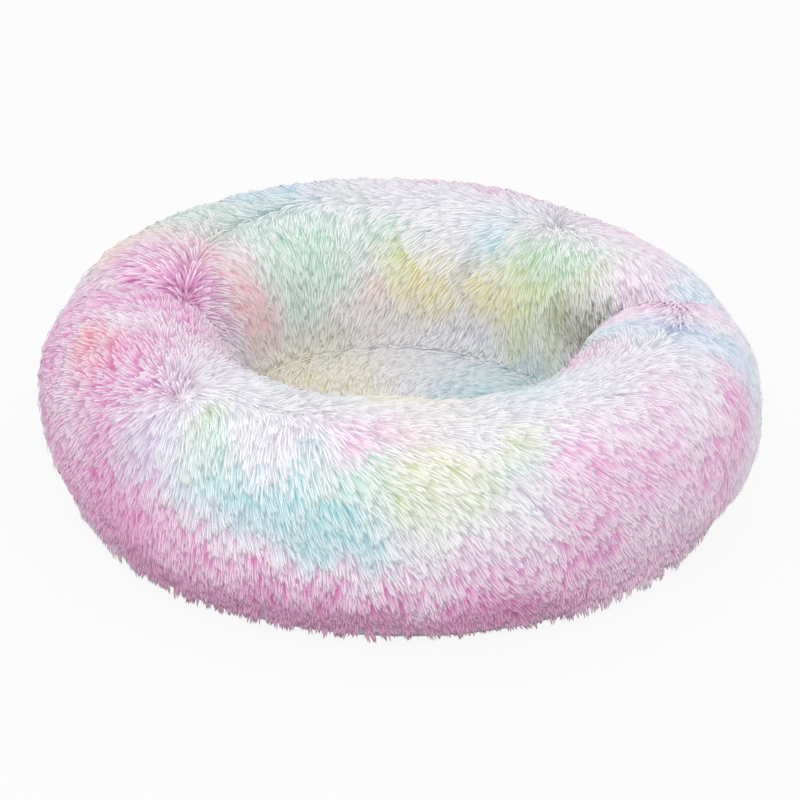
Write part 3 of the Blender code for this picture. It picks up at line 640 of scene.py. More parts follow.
def laid_flat(vectors):
    """What is left of vectors along the cloth."""
    up = (vectors * guide_normals).sum(-1, keepdims=True)
    return vectors - guide_normals * up


def blurred(field):
    """Each place's value mixed with those of its four neighbours."""
    along_row = (np.roll(field, 1, 0) + np.roll(field, -1, 0)) / 2
    beside = np.concatenate([field[:, :1], field, field[:, -1:]], 1)
    return field * 0.3 + along_row * 0.35 + (beside[:, :-2] + beside[:, 2:]) * 0.175


outwards = unit(laid_flat(-np.gradient(guide_places, axis=1)))
part_at = np.interp(guide_angle, parting_angles, parting_turns)
lean = -np.tanh((guide_turn - part_at) / 9.0)
comb = outwards * lean[..., None]
tousled = 0.12 + 0 * guide_angle
for angle, turn, reach in partings:
    middle = on_ring(float(angle), float(turn), cloth_inset)
    away = laid_flat(guide_places - middle)
    distance = np.linalg.norm(guide_places - middle, axis=-1, keepdims=True)
    share = bell(distance, reach) * (1 - bell(distance, 0.016))
    share = share * (guide_turn < 188.5)[..., None] * ramp(0.36, distance, 0.10)
    tousled = np.maximum(tousled, bell(distance[..., 0], 0.020))
    comb = comb * (1 - 0.75 * share) + unit(away) * share * parting_push
for _ in range(40):
    comb = laid_flat(blurred(comb))
down = laid_flat(np.broadcast_to(np.array([0, 0, -1.0]), comb.shape))
steep = ramp(26, guide_turn, 40)[..., None]
comb = unit(comb) + unit(down) * steep * hang_outside
comb = comb + unit(down) * ramp(-22, guide_turn, 12)[..., None] * hang_at_hem
in_pit = (guide_turn > 189.9)[..., None]
guide_x, guide_y = guide_places[..., 0], guide_places[..., 1]
swirl = np.stack([-guide_y - 0.4 * guide_x, guide_x - 0.9 * guide_y, 0 * guide_angle], -1)
pit_flow = unit(laid_flat(swirl + np.array([0.03, -0.05, 0])))
comb = np.where(in_pit, pit_flow, comb)
sideways = np.cross(guide_normals, unit(comb))
wander = waves(guide_places, 0.060, 4) * 0.22 + waves(guide_places, 0.018, 5) * 0.26
comb = unit(unit(comb) + sideways * wander[..., None])

round_ring = unit(laid_flat(np.roll(guide_places, -1, 0) - np.roll(guide_places, 1, 0)))
for seam, way in ((left_seam, 1), (right_seam, -1)):
    over_crease = bell(apart(guide_angle, seam), 6.0) * ramp(170, guide_turn, 20)
    over_crease = (over_crease * ramp(guide_turn, -20, 20))[..., None]
    comb = unit(comb * (1 - 0.8 * over_crease) + round_ring * over_crease * way * 1.1)
steady = unit(comb)
for _ in range(12):
    steady = blurred(steady)
steady = np.clip(np.linalg.norm(steady, axis=-1), 0, 1)

over_zip = guide_angle > zip_from - zip_margin_first
over_zip = over_zip & (guide_angle < zip_to + zip_margin_last)
above_zip = ramp(guide_places[..., 2], 0.046, 0.045)
pile_share = np.where(over_zip, 0.30 + 0.70 * above_zip, 1.0)
pile_share = np.where(in_pit[..., 0], 0.86, pile_share)
pile_share = pile_share * (1 - 0.24 * ramp(-8, guide_turn, 30))
pile_share = pile_share * (0.55 + 0.45 * steady)
bare_strip = over_zip & (guide_places[..., 2] < zip_clear_height)
rooted = (guide_turn > cover_edge + 0.5) & ~bare_strip

guide = show("pile_guide", guide_mesh)


def keep(mesh, name, kind, values, slot="value"):
    """Stores one number, vector or colour for each point of the mesh."""
    attribute = mesh.attributes.new(name, kind, "POINT")
    attribute.data.foreach_set(slot, np.ascontiguousarray(values, np.float32).ravel())


keep(guide_mesh, "comb", "FLOAT_VECTOR", comb, "vector")
keep(guide_mesh, "share", "FLOAT", pile_share)
keep(guide_mesh, "tousled", "FLOAT", tousled)
loft = 0.24 + 0.76 * ramp(guide_places[..., 2], 0.020, 0.060)
for seam in (left_seam, right_seam):
    loft = loft * (1 - 0.55 * bell(apart(guide_angle, seam), 8.0) * (guide_turn < 188))
over_tape = over_zip & (guide_turn < 30)
loft = np.where(over_tape, np.maximum(loft, 1.25 - 0.45 * above_zip), loft)
keep(guide_mesh, "loft", "FLOAT", loft)
keep_dye(guide_mesh, dyed(guide_angle, guide_turn, guide_places))


def give_out(tree, geometry, finish):
    """Ends a geometry tree with smooth, real faces in their finish."""
    geometry = place(tree, "GeometryNodeSetShadeSmooth", {"Geometry": geometry}).outputs[0]
    geometry = place(tree, "GeometryNodeRealizeInstances", {"Geometry": geometry}).outputs[0]
    finished = {"Geometry": geometry, "Material": finish}
    geometry = place(tree, "GeometryNodeSetMaterial", finished).outputs[0]
    place(tree, "NodeGroupOutput", {"Geometry": geometry})


def pile_tree():
    """Locks of pile, rooted at random on one patch of the guide and laid along its comb."""
    wanted = {
        "Geometry": "Geometry", "Guide": "Object", "Patch": "Int", "Density": "Float",
        "Locks per Tuft": "Float", "Length": "Float", "Rise": "Float", "Half Width": "Float",
        "Floor": "Float", "Seed": "Int", "Finish": "Material",
    }
    tree, given = new_group("lay_pile", "GeometryNodeTree", wanted, {"Geometry": "Geometry"})
    put, maths = partial(place, tree), partial(sums, tree)

    def vectors(operation, *values):
        node = put("ShaderNodeVectorMath", dict(enumerate(values)), operation=operation)
        return node.outputs["Value"] if operation == "DOT_PRODUCT" else node.outputs["Vector"]

    def scaled(vector, amount):
        inputs = {0: vector, "Scale": amount}
        return put("ShaderNodeVectorMath", inputs, operation="SCALE").outputs["Vector"]

    def named(name, kind="FLOAT"):
        node = put("GeometryNodeInputNamedAttribute", {"Name": name}, data_type=kind)
        return node.outputs["Attribute"]

    def store(geometry, name, value, kind="FLOAT", domain="POINT"):
        node = put(
            "GeometryNodeStoreNamedAttribute",
            {"Geometry": geometry, "Name": name, "Value": value},
            data_type=kind,
            domain=domain,
        )
        return node.outputs["Geometry"]

    def chance(seed, low=0.0, high=1.0, key=None):
        node = put(
            "FunctionNodeRandomValue",
            {"Min": low, "Max": high, "Seed": maths("ADD", given["Seed"], seed)},
            data_type="FLOAT",
        )
        if key is not None:
            tree.links.new(key, socket_of(node.inputs, "ID"))
        return socket_of(node.outputs, "Value")

    cloth = put("GeometryNodeObjectInfo", {"Object": given["Guide"]}).outputs["Geometry"]
    mine = put(
        "FunctionNodeCompare",
        {"A": named("patch", "INT"), "B": given["Patch"]},
        data_type="INT",
        operation="EQUAL",
    ).outputs["Result"]
    roots = put(
        "GeometryNodeDistributePointsOnFaces",
        {"Mesh": cloth, "Selection": mine, "Density": given["Density"], "Seed": given["Seed"]},
        distribute_method="RANDOM",
    )
    points = store(roots.outputs["Points"], "upright", roots.outputs["Normal"], "FLOAT_VECTOR")
    points = store(points, "root", put("GeometryNodeInputPosition").outputs[0], "FLOAT_VECTOR")
    points = store(points, "lock", put("GeometryNodeInputIndex").outputs[0], "INT")
    tufts = put(
        "GeometryNodeDistributePointsOnFaces",
        {
            "Mesh": cloth,
            "Selection": mine,
            "Density": maths("DIVIDE", given["Density"], given["Locks per Tuft"]),
            "Seed": maths("ADD", given["Seed"], 7.0),
        },
        distribute_method="RANDOM",
    ).outputs["Points"]
    here = put("GeometryNodeInputPosition").outputs[0]
    sample = {"Geometry": tufts, "Sample Position": here}
    nearest = put("GeometryNodeSampleNearest", sample).outputs["Index"]
    points = store(points, "tuft", nearest, "INT")
    heart = put(
        "GeometryNodeSampleIndex",
        {"Geometry": tufts, "Value": here, "Index": named("tuft", "INT")},
        data_type="FLOAT_VECTOR",
    ).outputs["Value"]
    points = store(points, "gather", vectors("SUBTRACT", heart, here), "FLOAT_VECTOR")
    tuft = named("tuft", "INT")
    points = store(points, "heft", chance(12, 0.70, 1.20))
    lot = maths("MULTIPLY_ADD", chance(21, key=tuft), 0.55, chance(11, 0.0, 0.45))
    level = maths("MULTIPLY", chance(16, 0.60, 1.0), chance(26, 0.85, 1.0, tuft))
    stray = maths("ADD", chance(13, -0.45, 0.45), chance(23, -0.75, 0.75, tuft))
    swing = maths("ADD", chance(14, -0.5, 0.5), chance(24, -0.6, 0.6, tuft))
    stature = maths("ADD", chance(15, 0.0, 0.35), chance(25, 0.0, 0.65, tuft))
    draws = {"lot": lot, "level": level, "stray": stray, "swing": swing, "stature": stature}
    for name, value in draws.items():
        points = store(points, name, value)
    domain = put("GeometryNodeAttributeDomainSize", {"Geometry": points}, component="POINTCLOUD")
    count = domain.outputs["Point Count"]

    steps = 3
    wanted = {"Geometry": points, "Amount": steps + 1}
    copies = put("GeometryNodeDuplicateElements", wanted, domain="POINT").outputs
    left_over = maths("DIVIDE", copies["Duplicate Index"], float(steps))
    left_over = maths("SUBTRACT", 1.0, left_over)
    along = maths("SUBTRACT", 1.0, maths("POWER", maths("MAXIMUM", left_over, 0.0), 1.5))
    strung = store(copies["Geometry"], "reach", along)
    reach = named("reach")
    upright = named("upright", "FLOAT_VECTOR")
    root = named("root", "FLOAT_VECTOR")
    combed = named("comb", "FLOAT_VECTOR")
    aside = vectors("CROSS_PRODUCT", upright, combed)
    astray = maths("MULTIPLY", named("stray"), maths("MULTIPLY_ADD", named("tousled"), 0.7, 0.10))
    step_ahead = scaled(combed, maths("MULTIPLY", given["Length"], 0.6))
    ahead_of_root = vectors("ADD", root, step_ahead)
    onward = put(
        "GeometryNodeSampleNearestSurface",
        {"Mesh": cloth, "Value": combed, "Sample Position": ahead_of_root},
        data_type="FLOAT_VECTOR",
    ).outputs["Value"]
    lay = vectors("ADD", combed, scaled(onward, maths("MULTIPLY", reach, 0.9)))
    lay = vectors("NORMALIZE", vectors("ADD", vectors("NORMALIZE", lay), scaled(aside, astray)))
    size = maths("MULTIPLY", named("share"), maths("MULTIPLY_ADD", named("stature"), 0.45, 0.72))
    length = maths("MULTIPLY", given["Length"], size)
    run = maths("MULTIPLY", length, maths("MULTIPLY", maths("POWER", reach, 1.35), 0.95))
    run = maths("MULTIPLY", run, maths("MULTIPLY_ADD", named("tousled"), -0.30, 1.0))
    bow = maths("SINE", maths("MULTIPLY", reach, 3.6))
    bow = maths("MULTIPLY", bow, maths("MULTIPLY", named("swing"), 0.0022))
    ahead = vectors("ADD", vectors("ADD", root, scaled(lay, run)), scaled(aside, bow))
    drawn = maths("MULTIPLY", maths("POWER", reach, 1.3), 0.50)
    ahead = vectors("ADD", ahead, scaled(named("gather", "FLOAT_VECTOR"), drawn))
    sample = {0: cloth, "Sample Position": ahead}
    near = put("GeometryNodeProximity", sample, target_element="FACES")
    faced = put(
        "GeometryNodeSampleNearestSurface",
        {
            "Mesh": cloth,
            "Value": put("GeometryNodeInputNormal").outputs[0],
            "Sample Position": ahead,
        },
        data_type="FLOAT_VECTOR",
    ).outputs["Value"]
    rise = maths("SINE", maths("MULTIPLY", reach, maths("MULTIPLY_ADD", named("swing"), 0.3, 2.05)))
    rise = maths("MULTIPLY", maths("MULTIPLY", given["Rise"], maths("POWER", size, 0.8)), rise)
    rise = maths("MULTIPLY", rise, maths("MULTIPLY", named("level"), named("loft")))
    over = vectors("ADD", near.outputs["Position"], scaled(faced, rise))
    apart_z = put("ShaderNodeSeparateXYZ", {0: over}).outputs
    least = maths("MULTIPLY_ADD", named("lot"), 0.003, given["Floor"])
    kept = maths("MAXIMUM", apart_z["Z"], least)
    whole = put("ShaderNodeCombineXYZ", {0: apart_z["X"], 1: apart_z["Y"], 2: kept}).outputs[0]
    strung = store(strung, "cloth_faces", faced, "FLOAT_VECTOR")
    moved = put("GeometryNodeSetPosition", {"Geometry": strung, "Position": whole}).outputs[0]
    strands = put(
        "GeometryNodePointsToCurves",
        {"Points": moved, "Curve Group ID": named("lock", "INT"), "Weight": reach},
    ).outputs[0]
    taper = maths("ABSOLUTE", maths("MULTIPLY_ADD", reach, 2.0, -1.0))
    taper = maths("MAXIMUM", maths("SUBTRACT", 1.0, maths("POWER", taper, 4.0)), 0.0)
    width = maths("MULTIPLY", maths("MULTIPLY", given["Half Width"], named("heft")), taper)
    strands = {"Curve": strands, "Normal": upright}
    strands = put("GeometryNodeSetCurveNormal", strands, mode="FREE").outputs[0]
    shape = {"Resolution": 3, "Radius": 1.0}
    shape = put("GeometryNodeCurvePrimitiveCircle", shape, mode="RADIUS").outputs["Curve"]
    shape = put("GeometryNodeTransform", {"Geometry": shape, "Scale": (0.16, 1.0, 1.0)}).outputs[0]
    corner = put("GeometryNodeInputIndex").outputs[0]
    shape = store(shape, "edge", maths("MULTIPLY", corner, 0.5))
    shape = store(shape, "flank", maths("GREATER_THAN", corner, 0.5))
    body = put(
        "GeometryNodeCurveToMesh",
        {"Curve": strands, "Profile Curve": shape, "Scale": width, "Fill Caps": True},
    ).outputs["Mesh"]
    across = 160.0
    rows = maths("CEIL", maths("DIVIDE", count, across))
    column = maths("MODULO", named("lock", "INT"), across)
    row = maths("FLOOR", maths("DIVIDE", named("lock", "INT"), across))
    cell_u = maths("ADD", column, maths("MULTIPLY_ADD", named("edge"), 0.8, 0.1))
    cell_u = maths("DIVIDE", cell_u, across)
    cell_v = maths("ADD", row, maths("MULTIPLY_ADD", reach, 0.86, 0.07))
    cell_v = maths("DIVIDE", cell_v, rows)
    cell = put("ShaderNodeCombineXYZ", {0: cell_u, 1: cell_v}).outputs[0]
    body = store(body, "OFBake", cell, "FLOAT2", "CORNER")
    joined = {"Geometry": body, "Distance": 0.000004}
    body = put("GeometryNodeMergeByDistance", joined).outputs[0]
    spares = ["upright", "root", "lock", "heft", "stray", "swing", "stature", "share", "comb"]
    for spare in spares + ["patch", "tuft", "gather", "tousled", "level", "loft"]:
        body = put("GeometryNodeRemoveAttribute", {"Geometry": body, "Name": spare}).outputs[0]
    give_out(tree, body, given["Finish"])
    return tree


def grain(tree, where, scale, detail, **more):
    """Smooth random numbers over a place, for colour or relief."""
    inputs = {"Vector": where, "Scale": scale, "Detail": detail, **more}
    return place(tree, "ShaderNodeTexNoise", inputs).outputs["Fac"]


def range_of(tree, value, low, high, **settings):
    """0 up to the low value and 1 from the high one."""
    inputs = {"Value": value, "From Min": low, "From Max": high}
    return place(tree, "ShaderNodeMapRange", inputs, **settings).outputs["Result"]


pile_finish, pile_nodes, pile_shader = new_finish(
    "dyed_pile", 0.62, sheen_weight=0.25, sheen_roughness=0.5
)
pile_shader.inputs["Specular IOR Level"].default_value = 0.25
pile_sums = partial(sums, pile_nodes)
lock_dye = stored(pile_nodes, "dye")
lock_reach, lock_lot, lock_edge, lock_flank = (
    stored(pile_nodes, name)["Fac"] for name in ("reach", "lot", "edge", "flank")
)
lock_share = pile_sums("MULTIPLY_ADD", lock_lot, 0.80, 0.58)
lock_share = pile_sums("MINIMUM", pile_sums("MULTIPLY", lock_dye["Alpha"], lock_share), 1.0)
tip_shift = pile_sums("MULTIPLY_ADD", lock_lot, 0.36, -0.18)
towards_tip = pile_sums("ADD", lock_reach, tip_shift)
tip_share = range_of(pile_nodes, towards_tip, 0.30, 0.92, interpolation_type="SMOOTHSTEP")
dye = lock_dye["Color"]
deep_dye = blend(pile_nodes, 0.20, dye, dye, blend_type="MULTIPLY")
# The roots carry the deeper dye. Where there is little dye they are a darker grey lilac, painted as
# the shade between the locks, which cast no shadow.
root_share = pile_sums("POWER", lock_share, 0.75)
root_dye_and_shade = blend(pile_nodes, root_share, linear(200, 197, 210), deep_dye)
dyed_through = pile_sums("MULTIPLY", pile_sums("POWER", lock_dye["Alpha"], 30.0), 0.30)
tip_dye = pile_sums("MULTIPLY_ADD", pile_sums("POWER", lock_share, 1.6), 0.26, dyed_through)
tip_colour = blend(pile_nodes, tip_dye, linear(244, 243, 246), dye)
pile_colour = blend(pile_nodes, tip_share, root_dye_and_shade, tip_colour)
fibre_across = pile_sums("MULTIPLY_ADD", lock_lot, 91.0, pile_sums("MULTIPLY", lock_edge, 4.5))
fibre_along = pile_sums("MULTIPLY", lock_reach, 1.6)
fibre_at = place(pile_nodes, "ShaderNodeCombineXYZ", {0: fibre_across, 1: fibre_along}).outputs[0]
# Fine streaks of the fibres' own tone along each lock, and the root colour painted along both
# flanks of each lock as shade at its edges.
streaks_and_flank_shade = pile_sums(
    "ADD",
    pile_sums("MULTIPLY_ADD", grain(pile_nodes, fibre_at, 1.0, 2.0), -0.9, 0.55),
    pile_sums("MULTIPLY", pile_sums("POWER", lock_flank, 1.6), 0.45),
)
streaked_and_flank_shaded = blend(pile_nodes, streaks_and_flank_shade, pile_colour, root_dye_and_shade, clamp_factor=True)
pile_nodes.links.new(streaked_and_flank_shaded, pile_shader.inputs["Base Color"])

# Locks are lit half by their own faces and half by those of the cloth under them.
pile_vectors = partial(place, pile_nodes, "ShaderNodeVectorMath")
lock_faces = place(pile_nodes, "ShaderNodeNewGeometry").outputs
cloth_faces = stored(pile_nodes, "cloth_faces")["Vector"]
outward = pile_vectors({0: lock_faces["True Normal"], 1: cloth_faces}, operation="DOT_PRODUCT")
same_side = pile_sums("SIGN", outward.outputs["Value"])
turned_cloth = pile_vectors({0: cloth_faces, "Scale": same_side}, operation="SCALE").outputs[0]
soft_face = place(
    pile_nodes,
    "ShaderNodeMix",
    {0: 0.50, "A": lock_faces["Normal"], "B": turned_cloth},
    data_type="VECTOR",
)
soft_normal = pile_vectors({0: soft_face.outputs[1]}, operation="NORMALIZE").outputs[0]
pile_nodes.links.new(soft_normal, pile_shader.inputs["Normal"])

lay_pile = pile_tree()
patches = [("near", left_seam, right_seam + 360, 5), ("far", right_seam, left_seam, 4)]
patch_names = [f"rim_pile_{side}_{n + 1}" for side, _, _, number in patches for n in range(number)]
patch_names.append("centre_pile")
face_rows, face_columns = len(guide_angles), guide_places.shape[1] - 1
face_angle = np.broadcast_to(guide_angles[:, None] + 0.375, (face_rows, face_columns))
face_patch = np.full((face_rows, face_columns), -1)
first_patch = 0
for side, first, last, number in patches:
    along = (face_angle - first) % 360
    width = (last - first) / number
    inside = along < last - first
    face_patch = np.where(inside, first_patch + (along // width).astype(int), face_patch)
    first_patch += number
face_patch[:, len(guide_turns) + hem_row_count :] = len(patch_names) - 1
bare = ~(rooted[:, :-1] & rooted[:, 1:] & np.roll(rooted, -1, 0)[:, 1:])
face_patch[bare] = -1
patch_attribute = guide_mesh.attributes.new("patch", "INT", "FACE")
patch_attribute.data.foreach_set("value", face_patch.astype(np.int32).ravel())
face_areas = np.empty(len(guide_mesh.polygons), np.float32)
guide_mesh.polygons.foreach_get("area", face_areas)


def input_of(tree, name):
    """The identifier that a modifier knows a named input by."""
    found = tree.interface.items_tree
    return next(item.identifier for item in found if item.name == name and item.in_out == "INPUT")


def grow(name, tree, **values):
    """Makes a piece by a geometry tree, and turns what it gives into a plain mesh."""
    piece = show(name, bpy.data.meshes.new(name))
    modifier = piece.modifiers.new(name, "NODES")
    modifier.node_group = tree
    for given, value in values.items():
        modifier[input_of(tree, given.replace("_", " "))] = value
    return settle(piece)


locks_in_patch = 13200
for number, name in enumerate(patch_names):
    area = float(face_areas[face_patch.ravel() == number].sum())
    pile = grow(
        name,
        lay_pile,
        Guide=guide,
        Patch=number,
        Density=locks_in_patch / area,
        Locks_per_Tuft=7.0,
        Length=pile_lock_length,
        Rise=pile_rise,
        Half_Width=lock_half_width,
        Floor=0.0008,
        Seed=number * 31,
        Finish=pile_finish,
    )
    # The fine fibres let light through: the cloth under them throws the shadow.
    pile.visible_shadow = pile.visible_diffuse = False
    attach(pile, "bed")
bpy.data.objects.remove(guide)

# ---------------------------------------------------------------- binding tapes
# Twill tape, folded over the cut edges inside the cover: one ring behind the seam of
# the centre panel, and one band in the base seam, from one end of the zip to the other.

zip_radius, zip_height, zip_lean = 0.279085, 0.029, math.radians(32.448)
tape_front, tape_back = -0.0023, -0.0031
foot_tape_first, foot_tape_last = 148.35, 391.65


def lay_threads(mesh, middle_radius, runs=None):
    """Gives each corner its place on the flat cloth, in metres, for the weave to follow."""
    points = np.array([v.co for v in mesh.vertices])
    around = np.arctan2(points[:, 1], points[:, 0])
    laid = mesh.uv_layers.new(name="laid")
    flat = np.empty((len(mesh.loops), 2))
    for face in mesh.polygons:
        corners = [mesh.loops[i].vertex_index for i in face.loop_indices]
        where = points[corners]
        if runs is None and abs(face.normal.z) > 0.75:
            flat[face.loop_indices] = where[:, :2]
            continue
        middle = math.atan2(face.center.y, face.center.x)
        turned = (around[corners] - middle + math.pi) % (2 * math.pi) - math.pi + middle
        rise = where[:, 2] if runs is None else runs[corners]
        flat[face.loop_indices] = np.stack([turned * middle_radius, rise], -1)
    laid.data.foreach_set("uv", flat.ravel())


def weave_group():
    """Threads that pass over and under each other: how high the cloth is, and how lit."""
    tree, given = new_group(
        "crossing_threads",
        "ShaderNodeTree",
        {"Thread": "Float", "Slant": "Float"},
        {"Height": "Float", "Shade": "Float"},
    )
    maths = partial(sums, tree)
    laid = place(tree, "ShaderNodeUVMap", uv_map="laid").outputs[0]
    laid = place(tree, "ShaderNodeSeparateXYZ", {0: laid}).outputs
    across = maths("DIVIDE", laid["X"], given["Thread"])
    along = maths("DIVIDE", laid["Y"], given["Thread"])
    slanted = maths("ADD", along, maths("MULTIPLY", maths("FLOOR", across), given["Slant"]))
    warp = maths("ABSOLUTE", maths("SINE", maths("MULTIPLY", across, math.pi)))
    weft = maths("ABSOLUTE", maths("SINE", maths("MULTIPLY", slanted, math.pi)))
    height = maths("MULTIPLY", maths("POWER", warp, 0.6), maths("POWER", weft, 0.6))
    crossing = {0: maths("FLOOR", across), 1: maths("FLOOR", slanted)}
    crossing = {"Vector": place(tree, "ShaderNodeCombineXYZ", crossing).outputs[0]}
    fleck = place(tree, "ShaderNodeTexWhiteNoise", crossing, noise_dimensions="3D")
    shade = maths("MULTIPLY_ADD", height, 0.40, 0.52)
    shade = maths("ADD", shade, maths("MULTIPLY", fleck.outputs["Value"], 0.10))
    place(tree, "NodeGroupOutput", {"Height": height, "Shade": shade})
    return tree


crossing_threads = weave_group()


def woven(name, colour, roughness, thread, slant=0.5, **shader):
    """A woven finish: its colour, and the width of one thread in metres."""
    material, tree, surface = new_finish(name, roughness, **shader)
    inputs = {"Thread": thread, "Slant": slant}
    weave = place(tree, "ShaderNodeGroup", inputs, node_tree=crossing_threads).outputs
    wear = grain(tree, on_object(tree), 22.0, 4.0)
    amount = sums(tree, "MULTIPLY_ADD", wear, 0.20, 0.90)
    amount = sums(tree, "MULTIPLY", weave["Shade"], amount)
    tinted = place(
        tree,
        "ShaderNodeMix",
        {0: 1.0, "A": (*colour, 1), "B": amount},
        data_type="RGBA",
        blend_type="MULTIPLY",
    )
    tree.links.new(tinted.outputs[2], surface.inputs["Base Color"])
    emboss(tree, surface, weave["Height"], 0.7, thread * 0.4)
    return material


def zip_point(out, up):
    """Radius and height of a place, measured out from the zip's face and up its tapes."""
    across = out * math.cos(zip_lean) + up * math.sin(zip_lean)
    rise = up * math.cos(zip_lean) - out * math.sin(zip_lean)
    return zip_radius + across, zip_height + rise


def band_places(outline, first, last, count):
    """Places on a closed outline of radius and height, carried along an arc."""
    around = np.radians(np.linspace(first, last, count))[:, None]
    return round_axis(around, *np.array(outline, float).T)


def end_caps(mesh):
    """Closes the two open ends of a band."""
    bm = bmesh.new()
    bm.from_mesh(mesh)
    bmesh.ops.holes_fill(bm, edges=[e for e in bm.edges if e.is_boundary])
    bmesh.ops.recalc_face_normals(bm, faces=bm.faces)
    bm.to_mesh(mesh)
    bm.free()
    return mesh


def tape_outline(back, front, low, high, round_off=0.00025):
    """The section of a flat tape, out and up, with its selvedges rounded off."""
    middle = (back + front) / 2
    return [
        (back, low + round_off), (back, (low + high) / 2), (back, high - round_off),
        (middle, high),
        (front, high - round_off), (front, (low + high) / 2), (front, low + round_off),
        (middle, low),
    ]


twill = woven("pink_twill_tape", linear(214, 150, 188), 0.85, 0.0005, 0.25, sheen_weight=0.2)
ring_outline = tape_outline(0.1518, 0.1528, 0.0585, 0.0695)
ring_places = turned_places(ring_outline, 180)
ring_mesh = sheet_mesh("centre_seam_tape", ring_places, closed_across=True, closed_along=True)
ring_tape = show("centre_seam_tape", close_up(ring_mesh), twill)
lay_threads(ring_tape.data, 0.1523)
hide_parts("inner_seam_tape")

tape_section = [zip_point(*p) for p in tape_outline(-0.0033, tape_front, -0.0138, -0.0063)]
foot_places = band_places(tape_section, foot_tape_first, foot_tape_last, 200)
foot_mesh = sheet_mesh("foot_seam_tape", foot_places, closed_along=True)
foot_tape = show("foot_seam_tape", end_caps(foot_mesh), twill)
lay_threads(foot_tape.data, zip_radius)
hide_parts("base_seam_tape")
for tape in (ring_tape, foot_tape):
    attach(tape, "bed")

# ---------------------------------------------------------------- base
# Grey coated cloth, flat on the floor and sewn up round the foot of the ring. Small
# rubber dots are printed on its underside in a close pattern, and hold the floor.

dot_height, dot_radius, dot_pitch = 0.0007, 0.0017, 0.0100
dots_across, dots_reach, dish_inside = 60, 0.243, 0.0016
wall_face, wall_thickness, wall_top, wall_foot = -0.0002, 0.0012, -0.0063, -0.0150


def dish_side(out, height):
    """One face of the base cloth: down its wall, round the corner, and in to the middle."""
    start_radius, start_height = zip_point(out, wall_foot)
    fall = start_height - height
    corner = start_radius - fall * math.tan(zip_lean)
    end = corner - fall / math.cos(zip_lean)
    points = [zip_point(out, wall_top)]
    for share in np.linspace(0, 1, 9):
        start, middle, stop = np.array(
            [(start_radius, start_height), (corner, height), (end, height)]
        )
        first = start * (1 - share) + middle * share
        last = middle * (1 - share) + stop * share
        points.append(tuple(first * (1 - share) + last * share))
    return points + [(r, height) for r in np.linspace(end, 0, 14)[1:]]


dish_outline = dish_side(wall_face - wall_thickness, dish_inside)[::-1]
dish_outline += dish_side(wall_face, dot_height)
dish_mesh = close_up(sheet_mesh("base_cloth", turned_places(dish_outline, 240), closed_across=True))
oxford = woven("grey_oxford_cloth", linear(196, 193, 201), 0.8, 0.0007, 0.5)
base_cloth = show("base_cloth", dish_mesh, oxford)
lay_threads(dish_mesh, zip_radius)
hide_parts("base_panel")
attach(base_cloth, "bed")


def dots_tree():
    """Printed dots in offset rows, over a round patch of the underside."""
    wanted = {
        "Geometry": "Geometry", "Pitch": "Float", "Across": "Int", "Patch Radius": "Float",
        "Dot Radius": "Float", "Dot Height": "Float", "Level": "Float", "Finish": "Material",
    }
    tree, given = new_group("print_dots", "GeometryNodeTree", wanted, {"Geometry": "Geometry"})
    put, maths = partial(place, tree), partial(sums, tree)
    count = maths("MULTIPLY", given["Across"], given["Across"])
    spots = put("GeometryNodePoints", {"Count": count}).outputs[0]
    index = put("GeometryNodeInputIndex").outputs[0]
    column = maths("MODULO", index, given["Across"])
    row = maths("FLOOR", maths("DIVIDE", index, given["Across"]))
    half = maths("MULTIPLY", given["Across"], 0.5)
    shifted = maths("MULTIPLY", maths("MODULO", row, 2.0), 0.5)
    x = maths("ADD", maths("SUBTRACT", column, half), shifted)
    x = maths("MULTIPLY", x, given["Pitch"])
    y = maths("MULTIPLY", maths("SUBTRACT", row, half), maths("MULTIPLY", given["Pitch"], 0.866))
    where = put("ShaderNodeCombineXYZ", {0: x, 1: y, 2: given["Level"]}).outputs[0]
    spots = put("GeometryNodeSetPosition", {"Geometry": spots, "Position": where}).outputs[0]
    reach = put("ShaderNodeCombineXYZ", {0: x, 1: y}).outputs[0]
    reach = put("ShaderNodeVectorMath", {0: reach}, operation="LENGTH").outputs["Value"]
    outside = maths("GREATER_THAN", reach, given["Patch Radius"])
    spots = {"Geometry": spots, "Selection": outside}
    spots = put("GeometryNodeDeleteGeometry", spots, domain="POINT").outputs[0]
    dot = {"Segments": 6, "Rings": 3, "Radius": 1.0}
    dot = put("GeometryNodeMeshUVSphere", dot).outputs["Mesh"]
    size = {0: given["Dot Radius"], 1: given["Dot Radius"], 2: given["Dot Height"]}
    size = put("ShaderNodeCombineXYZ", size).outputs[0]
    dots = {"Points": spots, "Instance": dot, "Scale": size}
    give_out(tree, put("GeometryNodeInstanceOnPoints", dots).outputs[0], given["Finish"])
    return tree


rubber, rubber_nodes, rubber_shader = new_finish("dotted_rubber", 0.55)
rubber_grain = grain(rubber_nodes, on_object(rubber_nodes), 60.0, 3.0)
rubber_colour = blend(rubber_nodes, rubber_grain, linear(34, 34, 38), linear(56, 56, 60))
rubber_nodes.links.new(rubber_colour, rubber_shader.inputs["Base Color"])
emboss(rubber_nodes, rubber_shader, rubber_grain, 0.3, 0.0003)
dots = grow(
    "base_dots",
    dots_tree(),
    Pitch=dot_pitch,
    Across=dots_across,
    Patch_Radius=dots_reach,
    Dot_Radius=dot_radius,
    Dot_Height=dot_height,
    Level=dot_height,
    Finish=rubber,
)
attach(dots, "bed")

# ---------------------------------------------------------------- zip
# A nylon coil zip round the back, under the overhang of the fur: two woven tapes, each
# with a coil of stiff filament sewn along its edge, so that the filling can come out.

